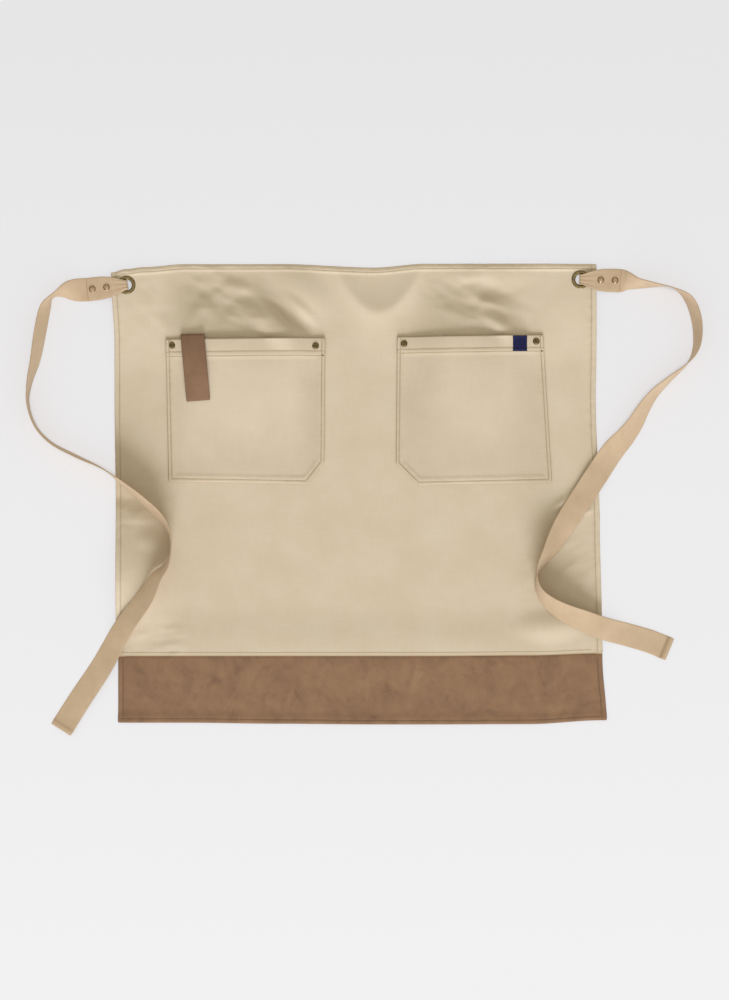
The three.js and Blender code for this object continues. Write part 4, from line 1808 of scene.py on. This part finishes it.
LOOP = (
    LoopRow(2.2, 8.7, 1.65, 1),
    LoopRow(13, 8.7, 1.65, 0.55),
    LoopRow(22.5, 7.9, 2.8, 0.25),
    LoopRow(24, 6.4, 4.15, 0.21),
    LoopRow(33, 6.2, 4.2, 0.06),
    LoopRow(44, 3.9, 2.05, 0),
    LoopRow(54, 3.6, 1.75, 0),
    LoopRow(57, 3.55, 1.7, 0),
)
TAILS = {
    Side.LEFT: (
        TailRow(-405, 295, 12), TailRow(-418, 294, 36), TailRow(-430, 291, 70), TailRow(-443, 285, 92),
        TailRow(-451, 272, 66), TailRow(-458.5, 240, 62), TailRow(-466.5, 194, 68), TailRow(-475, 160, 83),
        TailRow(-477, 132, 90), TailRow(-466, 99, 89), TailRow(-445, 76, 87), TailRow(-408, 56, 84),
        TailRow(-372, 39, 90), TailRow(-349, 23, 96), TailRow(-315, -5, 108), TailRow(-286, -33, 110),
        TailRow(-274, -54, 98), TailRow(-272, -80, 92), TailRow(-279, -102, 104), TailRow(-292, -117, 120),
        TailRow(-309, -148, 140), TailRow(-339, -189, 150), TailRow(-372, -247, 162),
        TailRow(-405, -297, 170), TailRow(-430, -337, 176),
    ),
    Side.RIGHT: (
        TailRow(385, 307, 44), TailRow(398, 304, 66), TailRow(420, 302, 80), TailRow(448, 298.5, 100),
        TailRow(467, 287, 77), TailRow(477, 273, 69), TailRow(484.5, 245, 68), TailRow(483, 212, 77),
        TailRow(472, 191, 91), TailRow(443, 165, 105), TailRow(423, 146, 114), TailRow(408, 125, 125),
        TailRow(395, 102, 136), TailRow(381, 83, 147), TailRow(365, 65, 164), TailRow(340, 28, 178),
        TailRow(316, -9, 180), TailRow(294, -43, 163), TailRow(274, -77, 130), TailRow(257, -106, 100),
        TailRow(254, -120, 88), TailRow(257, -136, 76), TailRow(269, -152, 60), TailRow(292, -168, 40),
        TailRow(322, -181, 22), TailRow(351, -192, 12), TailRow(388, -202, 6), TailRow(418, -211, 3),
        TailRow(445, -222, 1),
    ),
}


def smooth_through(points: Array, per_step: int) -> Array:
    """Runs a centripetal curve through some points.

    Args:
        points: the points, one row each.
        per_step: how many points the curve has for each step between two of them.

    Returns:
        The curve's points.
    """
    ends = np.vstack([2 * points[0] - points[1], points, 2 * points[-1] - points[-2]])
    share = np.arange(per_step)[:, None] / per_step
    curve = []
    for p0, p1, p2, p3 in zip(ends, ends[1:], ends[2:], ends[3:]):
        t0, t1, t2 = (math.sqrt(math.dist(a, b)) for a, b in ((p0, p1), (p1, p2), (p2, p3)))
        leave = ((p1 - p0) / t0 - (p2 - p0) / (t0 + t1) + (p2 - p1) / t1) * t1
        arrive = ((p2 - p1) / t1 - (p3 - p1) / (t1 + t2) + (p3 - p2) / t2) * t1
        cubic = 2 * p1 - 2 * p2 + leave + arrive
        square = 3 * p2 - 3 * p1 - 2 * leave - arrive
        curve.append(p1 + share * leave + share**2 * square + share**3 * cubic)
    return np.vstack([*curve, points[-1:]])


def slide(values: Array, reach: int, how: Callable[[Array], float]) -> Array:
    """Replaces each value by a summary of the values within reach of it."""
    return np.array([how(values[max(at - reach, 0):at + reach + 1]) for at in range(len(values))])


@dataclass
class Tie:
    """A webbing tie: its end doubled through the eyelet and riveted, its length lying loose."""

    side: Side
    panel: Panel
    width: float = 32.0
    thickness: float = 1.5
    gathered_width: float = 13.4
    pleat: float = 0.5
    pleats: int = 3
    columns: int = 17
    per_row: int = 8
    loop_step: float = 1.5
    bend_rows: int = 14
    clearance: float = 0.1
    lead: float = 4.0
    bed_columns: int = 9
    bed_reach: int = 1
    bed_blur: int = 2
    tilt_blur: int = 4
    end_rise: float = 0.9
    end_hem: float = 9.0
    end_fade: float = 5.0
    end_thicker: float = 0.35
    end_stitch: float = 7.0
    groove: float = 0.3
    groove_width: float = 1.2

    @property
    def eyelet(self) -> EyeletPlace:
        """The eyelet that the tie goes through."""
        return EYELETS[self.side]

    @property
    def base(self) -> Array:
        """The middle of the eyelet, on the table."""
        return np.array([self.eyelet.x, self.eyelet.y, 0.0])

    def outward(self) -> Array:
        """The direction in which the doubled end leaves the eyelet."""
        heading = math.radians(self.eyelet.heading)
        return np.array([math.cos(heading), math.sin(heading), 0.0])

    def loop_height(self, layer: str, out: Array) -> Array:
        """Height of one layer of the doubled end at distances out."""
        return np.interp(out, column(LOOP, "out"), column(LOOP, layer))

    def bed(self, x: Array, y: Array) -> Array:
        """Height of what lies under the tie; the band counts as two layers of leather.

        Args:
            x: places across.
            y: places up.

        Returns:
            The heights there.
        """
        on_apron = (LIE.inset(x, y) > -self.lead) & (y < LIE.end("waist", x)) & (y > LIE.end("foot", x))
        on_band = y < LIE.end("seam", x)
        cloth = np.where(on_band, 2 * LAYERS.leather, self.panel.top(x, y)) + self.clearance
        return np.where(on_apron, cloth, 0.0)

    def sections(self) -> tuple[Array, Array, Array]:
        """The tie's sections along its length.

        Returns:
            The middles, the directions across the webbing, and how far each section is gathered.
        """
        out = self.outward()
        across = np.array([-out[1], out[0], 0.0]) * -self.side.hand
        reach = np.arange(LOOP[0].out, LOOP[-1].out, self.loop_step)
        gather = np.interp(reach, column(LOOP, "out"), column(LOOP, "gather"))
        over, under = (
            self.base + reach[:, None] * out + self.loop_height(layer, reach)[:, None] * UP
            for layer in ("over", "under")
        )
        radius = (LOOP[0].over - LOOP[0].under) / 2
        turn = np.linspace(0, np.pi, self.bend_rows)[1:-1]
        inner = self.base + (LOOP[0].out - radius * np.sin(turn))[:, None] * out
        inner = inner + (LOOP[0].under + radius + radius * np.cos(turn))[:, None] * UP
        loop = np.vstack([over[::-1], inner, under])
        gathers = np.concatenate([gather[::-1], np.ones(len(turn)), gather])
        tail, tail_across = self.tail(under[-1])
        middles = np.vstack([loop, tail])
        acrosses = np.vstack([np.broadcast_to(across, loop.shape), tail_across])
        return middles, acrosses, np.concatenate([gathers, np.zeros(len(tail))])

    def tail(self, start: Array) -> tuple[Array, Array]:
        """The free length, laid on whatever is under it.

        Args:
            start: where the doubled end lets it go.

        Returns:
            The middles of its sections and the directions across them.
        """
        rows = (TailRow(start[0], start[1], 0.0), *TAILS[self.side])
        points = np.stack([column(rows, "x"), column(rows, "y")], axis=1)
        curve = smooth_through(points, self.per_row)
        count = np.arange(len(curve))
        heading = np.gradient(curve, axis=0)
        heading /= np.linalg.norm(heading, axis=1, keepdims=True)
        tilt = np.interp(count / self.per_row, np.arange(len(rows)), column(rows, "tilt"))
        tilt = slide(np.radians(tilt), self.tilt_blur, np.mean)
        level = np.stack([-heading[:, 1], heading[:, 0], np.zeros(len(curve))], axis=1) * -self.side.hand
        across = level * np.cos(tilt)[:, None] + UP * np.sin(tilt)[:, None]
        half = self.thickness / 2 * np.abs(np.cos(tilt))
        needed = []
        for reach in np.linspace(-0.5, 0.5, self.bed_columns) * (self.width + self.thickness):
            bed = self.bed(curve[:, 0] + across[:, 0] * reach, curve[:, 1] + across[:, 1] * reach)
            eased = slide(slide(bed, self.bed_reach, np.max), self.bed_blur, np.mean)
            needed.append(eased + half - across[:, 2] * reach)
        height = np.max(needed, axis=0)
        height = np.maximum(start[2] + (height - start[2]) * smoothstep(count, 0, self.per_row), height)
        height = height + self.end_rise * smoothstep(count, count[-1] - self.per_row, count[-1])
        middles = np.column_stack([curve, height])
        return middles[1:], across[1:]

    def build(self) -> Piece:
        """Makes the tie and the stitching across its end.

        Returns:
            The tie.
        """
        middles, acrosses, gathers = self.sections()
        along = np.gradient(middles, axis=0)
        normal = np.cross(along, acrosses)
        normal /= np.linalg.norm(normal, axis=1, keepdims=True)
        lengths = np.concatenate([[0.0], np.cumsum(np.linalg.norm(np.diff(middles, axis=0), axis=1))])
        share = np.linspace(-0.5, 0.5, self.columns)
        width = self.width + (self.gathered_width - self.width) * gathers
        wave = np.cos(2 * np.pi * self.pleats * share)
        middle = middles[:, None, :] + acrosses[:, None, :] * (width[:, None] * share)[..., None]
        middle = middle + normal[:, None, :] * (self.pleat * gathers[:, None] * wave)[..., None]
        shape = middle.shape[:2]
        hem, sewn = lengths[-1] - self.end_hem, lengths[-1] - self.end_stitch
        doubled = smoothstep(lengths, hem - self.end_fade, hem)
        # The stitch line's dip also sets the tie's painted shade there
        pinch_and_shade = np.broadcast_to(line_dip(lengths - sewn, self.groove_width)[:, None], shape)
        thick = self.thickness * (1.0 + self.end_thicker * doubled)[:, None] - self.groove * pinch_and_shade
        normals = np.broadcast_to(normal[:, None, :], (*shape, 3))
        sheet = Sheet(middle, normals, thick, strip_pattern(share * self.width, lengths), pinch_and_shade)
        side = self.side.value
        tie = settle(sheet.make(f"webbing_tie_{side}", WEBBING), "webbing", f"tie_{side}")
        seam = np.searchsorted(lengths, sewn)
        runs = []
        for lift in (normal[seam], -normal[seam]):
            line = middle[seam] + lift * thick[seam][:, None] / 2
            runs.append(Run(line, np.broadcast_to(lift, line.shape)))
        stitching = STITCHES.sew(f"tie_stitching_{side}", runs, CREAM_THREAD, "webbing")
        self.width * MM
        return tie


class Seat(NamedTuple):
    """Where a fitting's seat goes, and how thick the stack is that the fitting holds."""

    x: float
    y: float
    high: float
    grip: float


def copy_of(model: Piece, name: str, seat: Seat, grip: float, finish: Finish) -> Piece:
    """Copies a fitting that was modelled at the origin, with a mesh of its own.

    Args:
        model: the fitting, whose seat is at z = 0.
        name: the copy's name.
        seat: where the copy goes and how thick a stack it holds.
        grip: how thick a stack the model holds.
        finish: what the copy's surface is.

    Returns:
        The copy.
    """
    mesh = model.data.copy()
    mesh.name = name
    for vertex in mesh.vertices:
        if vertex.co.z < -grip * MM / 2:
            vertex.co.z -= (seat.grip - grip) * MM
    mesh.transform(Matrix.Translation(Vector(seat[:3]) * MM))
    return new_piece(name, mesh, finish)


@dataclass(frozen=True)
class RivetKind:
    """A kind of rivet: its cap's steps from the rim inwards, its dark rings and how dark the rest is."""

    name: str
    steps: tuple[Step, ...]
    rings: tuple[Ring, ...]
    base: float
    finish: Finish
    slot: str


RIVET_CAP = 4.8
POCKET_RIVET = RivetKind(
    "pocket_rivet",
    (Step(0.3, 0.35), Step(0.7, 0.4), Step(1.2, 0.35), Step(0.9, 0.12), Step(0.35, -0.15), Step(0.5, 0.05)),
    (Ring(RIVET_CAP, 0.7, 0.5), Ring(1.5, 0.35, 0.3)),
    base=0.2,
    finish=DARK_BRASS,
    slot="dark_brass",
)
TIE_RIVET = RivetKind(
    "tie_rivet",
    (Step(0.25, 0.25), Step(0.5, 0.1), Step(0.35, -0.25), Step(0.3, 0.1), Step(0.5, 0.35), Step(0.9, 0.2)),
    (Ring(RIVET_CAP - 0.9, 0.4, 0.75), Ring(RIVET_CAP, 0.3, 0.3)),
    base=0.0,
    finish=LIGHT_BRASS,
    slot="light_brass",
)


@dataclass
class Fittings:
    """The brass eyelets and rivets, each modelled once and copied to its places."""

    pockets: dict[Side, Pocket]
    ties: dict[Side, Tie]
    hole: float = 7.8
    wall: float = 0.8
    flange: float = 13.0
    back_flange: float = 12.5
    rim: float = 0.35
    lip: float = -0.25
    eyelet_steps: tuple[Step, ...] = (
        Step(0.35, 0.3), Step(0.7, 0.3), Step(1.1, 0.15), Step(1.0, -0.1), Step(0.9, -0.25), Step(0.65, -0.3),
    )
    eyelet_rings: tuple[Ring, ...] = (Ring(flange, 0.8, 0.45), Ring(hole, 1.0, 0.45))
    eyelet_base: float = 0.1
    eyelet_grip: float = 2.0
    eyelet_stack: float = 1.8
    eyelet_edge: float = 0.12
    eyelet_sides: int = 64
    cap: float = RIVET_CAP
    cap_rim: float = 0.5
    post: float = 1.6
    rivet_back: float = 4.0
    rivet_grip: float = 4.0
    rivet_edge: float = 0.1
    rivet_sides: int = 40
    back_plate: float = 0.6
    tie_rivets: tuple[float, float] = (28.8, 49.5)
    seat_gap: float = 0.2
    back_gap: float = 0.3

    def eyelet_model(self) -> Piece:
        """Models an eyelet whose front flange is rolled and whose barrel goes through to a back washer.

        Returns:
            The eyelet, with its seat at z = 0.
        """
        bench = Bench("eyelet_model", self.flange, self.rim, self.eyelet_sides)
        bench.pick_cap(True)
        for step in self.eyelet_steps:
            bench.inset(*step)
        bench.inset(self.flange - self.hole - sum(step.width for step in self.eyelet_steps), self.lip)
        bench.remove()
        barrel = self.hole + self.wall
        bench.pick_cap(False)
        bench.inset(self.flange - barrel)
        bench.extrude(-self.eyelet_grip)
        bench.spread(self.back_flange / barrel)
        bench.extrude(-self.back_plate)
        bench.inset(self.back_flange - self.hole)
        bench.remove()
        bench.bridge()
        piece = bench.finish(self.eyelet_edge)
        mark_tarnish(piece, self.eyelet_rings, self.eyelet_base)
        return piece

    def rivet_model(self, kind: RivetKind) -> Piece:
        """Models a rivet: a cap shaped by insets, a post and a back plate.

        Args:
            kind: what its cap is like.

        Returns:
            The rivet, with its seat at z = 0.
        """
        bench = Bench("rivet_model", self.cap, self.cap_rim, self.rivet_sides)
        bench.pick_cap(True)
        for step in kind.steps:
            bench.inset(*step)
        bench.pick_cap(False)
        bench.inset(self.cap - self.post)
        bench.extrude(-self.rivet_grip)
        bench.spread(self.rivet_back / self.post)
        bench.extrude(-self.back_plate)
        piece = bench.finish(self.rivet_edge)
        mark_tarnish(piece, kind.rings, kind.base)
        return piece

    def build(self) -> None:
        """Makes the eyelets and rivets."""
        model = self.eyelet_model()
        for side, place in EYELETS.items():
            high = float(LIE.under(place.x, place.y)) + LAYERS.canvas + self.seat_gap
            seat = Seat(place.x, place.y, high, self.eyelet_stack)
            piece = copy_of(model, f"brass_eyelet_{side.value}", seat, self.eyelet_grip, DARK_BRASS)
            settle(piece, "dark_brass", f"eyelet_{side.value}")
        bpy.data.objects.remove(model)
        self.build_rivets(POCKET_RIVET, self.pocket_seats())
        self.build_rivets(TIE_RIVET, self.tie_seats())

    def build_rivets(self, kind: RivetKind, seats: Sequence[Seat]) -> None:
        """Makes the rivets of one kind.

        Args:
            kind: the kind.
            seats: where they go.
        """
        model = self.rivet_model(kind)
        for number, seat in enumerate(seats, 1):
            piece = copy_of(model, f"brass_{kind.name}_{number}", seat, self.rivet_grip, kind.finish)
            settle(piece, kind.slot, f"{kind.name}_{number}")
        bpy.data.objects.remove(model)

    def pocket_seats(self) -> list[Seat]:
        """Where rivets hold the pockets' upper corners.

        Returns:
            The seats, from left to right.
        """
        seats = []
        for x, y in LIE.rivets:
            pocket = self.pockets[Side.LEFT if x < 0 else Side.RIGHT]
            high = float(pocket.top(np.array([x]), np.array([y]))[0])
            seats.append(Seat(x, y, high, high - float(LIE.under(x, y)) + self.back_gap))
        return seats

    def tie_seats(self) -> list[Seat]:
        """Where rivets hold the ties' doubled ends.

        Returns:
            The seats, the left tie's first, each from the eyelet out.
        """
        seats = []
        for tie in self.ties.values():
            for out in self.tie_rivets:
                x, y, _ = tie.base + tie.outward() * out
                room = tie.thickness / 2 + self.seat_gap
                high = float(tie.loop_height("over", out)) + room
                seats.append(Seat(x, y, high, high - float(tie.loop_height("under", out)) + room))
        return seats


class Share(Enum):
    """Which things a light shines on, by the name that the light's own list has for it."""

    ONLY = "INCLUDE"
    ALL_BUT = "EXCLUDE"


@dataclass(frozen=True)
class Sun:
    """A soft far light: its strength, spread, height, heading and colour, with angles in degrees."""

    name: str
    strength: float
    spread: float
    height: float
    heading: float
    colour: str = "#FFFFFF"

    def shine(self, things: Sequence[Piece], share: Share) -> None:
        """Adds the light and says what it shines on.

        Args:
            things: some of the things in the studio.
            share: whether it shines only on these or on all but these.
        """
        data = bpy.data.lights.new(self.name, "SUN")
        data.energy = self.strength
        data.color = linear(self.colour)[:3]
        data.angle = math.radians(self.spread)
        light = bpy.data.objects.new(self.name, data)
        light.rotation_euler = (math.radians(90 - self.height), 0, math.radians(self.heading))
        bpy.context.scene.collection.objects.link(light)
        group = bpy.data.collections.new(f"{self.name}_receivers")
        for thing in things:
            group.objects.link(thing)
        for member in group.collection_objects:
            member.light_linking.link_state = share.value
        light.light_linking.receiver_collection = group


@dataclass
class Studio:
    """The camera straight above, a low soft key light on the apron, and a pale floor lit from above."""

    field: float = 1.44
    centre: tuple[float, float] = (0.00648, -0.0072)
    camera_height: float = 6.0
    sensor: float = 36.0
    floor_size: float = 12.0
    floor_drop: float = 0.0004
    floor_colours: tuple[str, str] = ("#F2F3F9", "#E7E8EE")
    floor_reach: float = 0.65
    floor_glow: float = 0.35
    sky_colour: str = "#FFFAEB"
    sky_strength: float = 0.6
    key: Sun = Sun("key", 4.75, 34.0, 18.5, 4.0, "#EEF2FF")
    overhead: Sun = Sun("overhead", 0.85, 80.0, 72.0, 4.0, "#F6F8FF")
    graze: Sun = Sun("graze", 1.68, 34.0, 18.5, 4.0, "#F6F8FF")
    down: Sun = Sun("down", 1.27, 16.0, 90.0, 0.0)

    def build(self, ties: Sequence[Piece]) -> None:
        """Sets up the camera, the floor, an even sky and the lights.

        Args:
            ties: the ties, which stand up from the table and so are lit from overhead more than by the key.
        """
        self.place_camera()
        floor = self.lay_floor()
        self.open_sky()
        self.key.shine([floor, *ties], Share.ALL_BUT)
        self.overhead.shine(ties, Share.ONLY)
        self.graze.shine(ties, Share.ONLY)
        self.down.shine([floor], Share.ONLY)

    def place_camera(self) -> None:
        """Puts the camera straight above the apron, with its picture's long side along Y."""
        data = bpy.data.cameras.new("camera")
        data.sensor_width = self.sensor
        data.lens = self.sensor * self.camera_height / self.field
        camera = bpy.data.objects.new("camera", data)
        camera.location = (*self.centre, self.camera_height)
        bpy.context.scene.collection.objects.link(camera)
        bpy.context.scene.camera = camera

    def open_sky(self) -> None:
        """Adds the even sky."""
        world = bpy.data.worlds.new("sky")
        world.use_nodes = True
        sky = world.node_tree.nodes["Background"]
        sky.inputs["Color"].default_value = linear(self.sky_colour)
        sky.inputs["Strength"].default_value = self.sky_strength
        scene = bpy.context.scene
        scene.world = world
        scene.view_settings.view_transform = "Standard"

    def lay_floor(self) -> Piece:
        """Lays the pale floor just under the apron, a little lighter towards the foot.

        Returns:
            The floor.
        """
        bpy.ops.object.select_all(action="DESELECT")
        bpy.ops.mesh.primitive_plane_add(size=self.floor_size, location=(0, 0, -self.floor_drop))
        floor = bpy.context.object
        floor.name = "floor"
        material = new_material("paper_matt")
        tree = material.node_tree
        place = add_node(tree, "TexCoord", None, "Object")
        up = add_node(tree, "SeparateXYZ", {0: place}, 1)
        reach = {"Value": up, "From Min": -self.floor_reach, "From Max": self.floor_reach}
        share = add_node(tree, "MapRange", reach)
        foot, waist = (linear(colour) for colour in self.floor_colours)
        colour = add_node(tree, "Mix", {0: share, 6: foot, 7: waist}, 2, data_type="RGBA")
        paper = add_node(tree, "BsdfDiffuse", {"Color": colour})
        glow = add_node(tree, "Emission", {"Color": colour})
        mixed = add_node(tree, "MixShader", {0: self.floor_glow, 1: paper, 2: glow})
        add_node(tree, "OutputMaterial", {"Surface": mixed})
        floor.data.materials.append(material)
        return floor


def main() -> None:
    """Builds the apron piece by piece and sets it in the studio."""
    logging.basicConfig(level=logging.INFO, format="%(name)s %(message)s")
    panel = Panel()
    panel.build()
    Band().build()
    pockets = {side: Pocket(side) for side in Side}
    for pocket in pockets.values():
        pocket.build()
    Tab(pockets[Side.LEFT]).build()
    Label(pockets[Side.RIGHT]).build()
    ties = {side: Tie(side, panel) for side in Side}
    webbing = [tie.build() for tie in ties.values()]
    Fittings(pockets, ties).build()
    Studio().build(webbing)


if __name__ == "__main__":
    main()
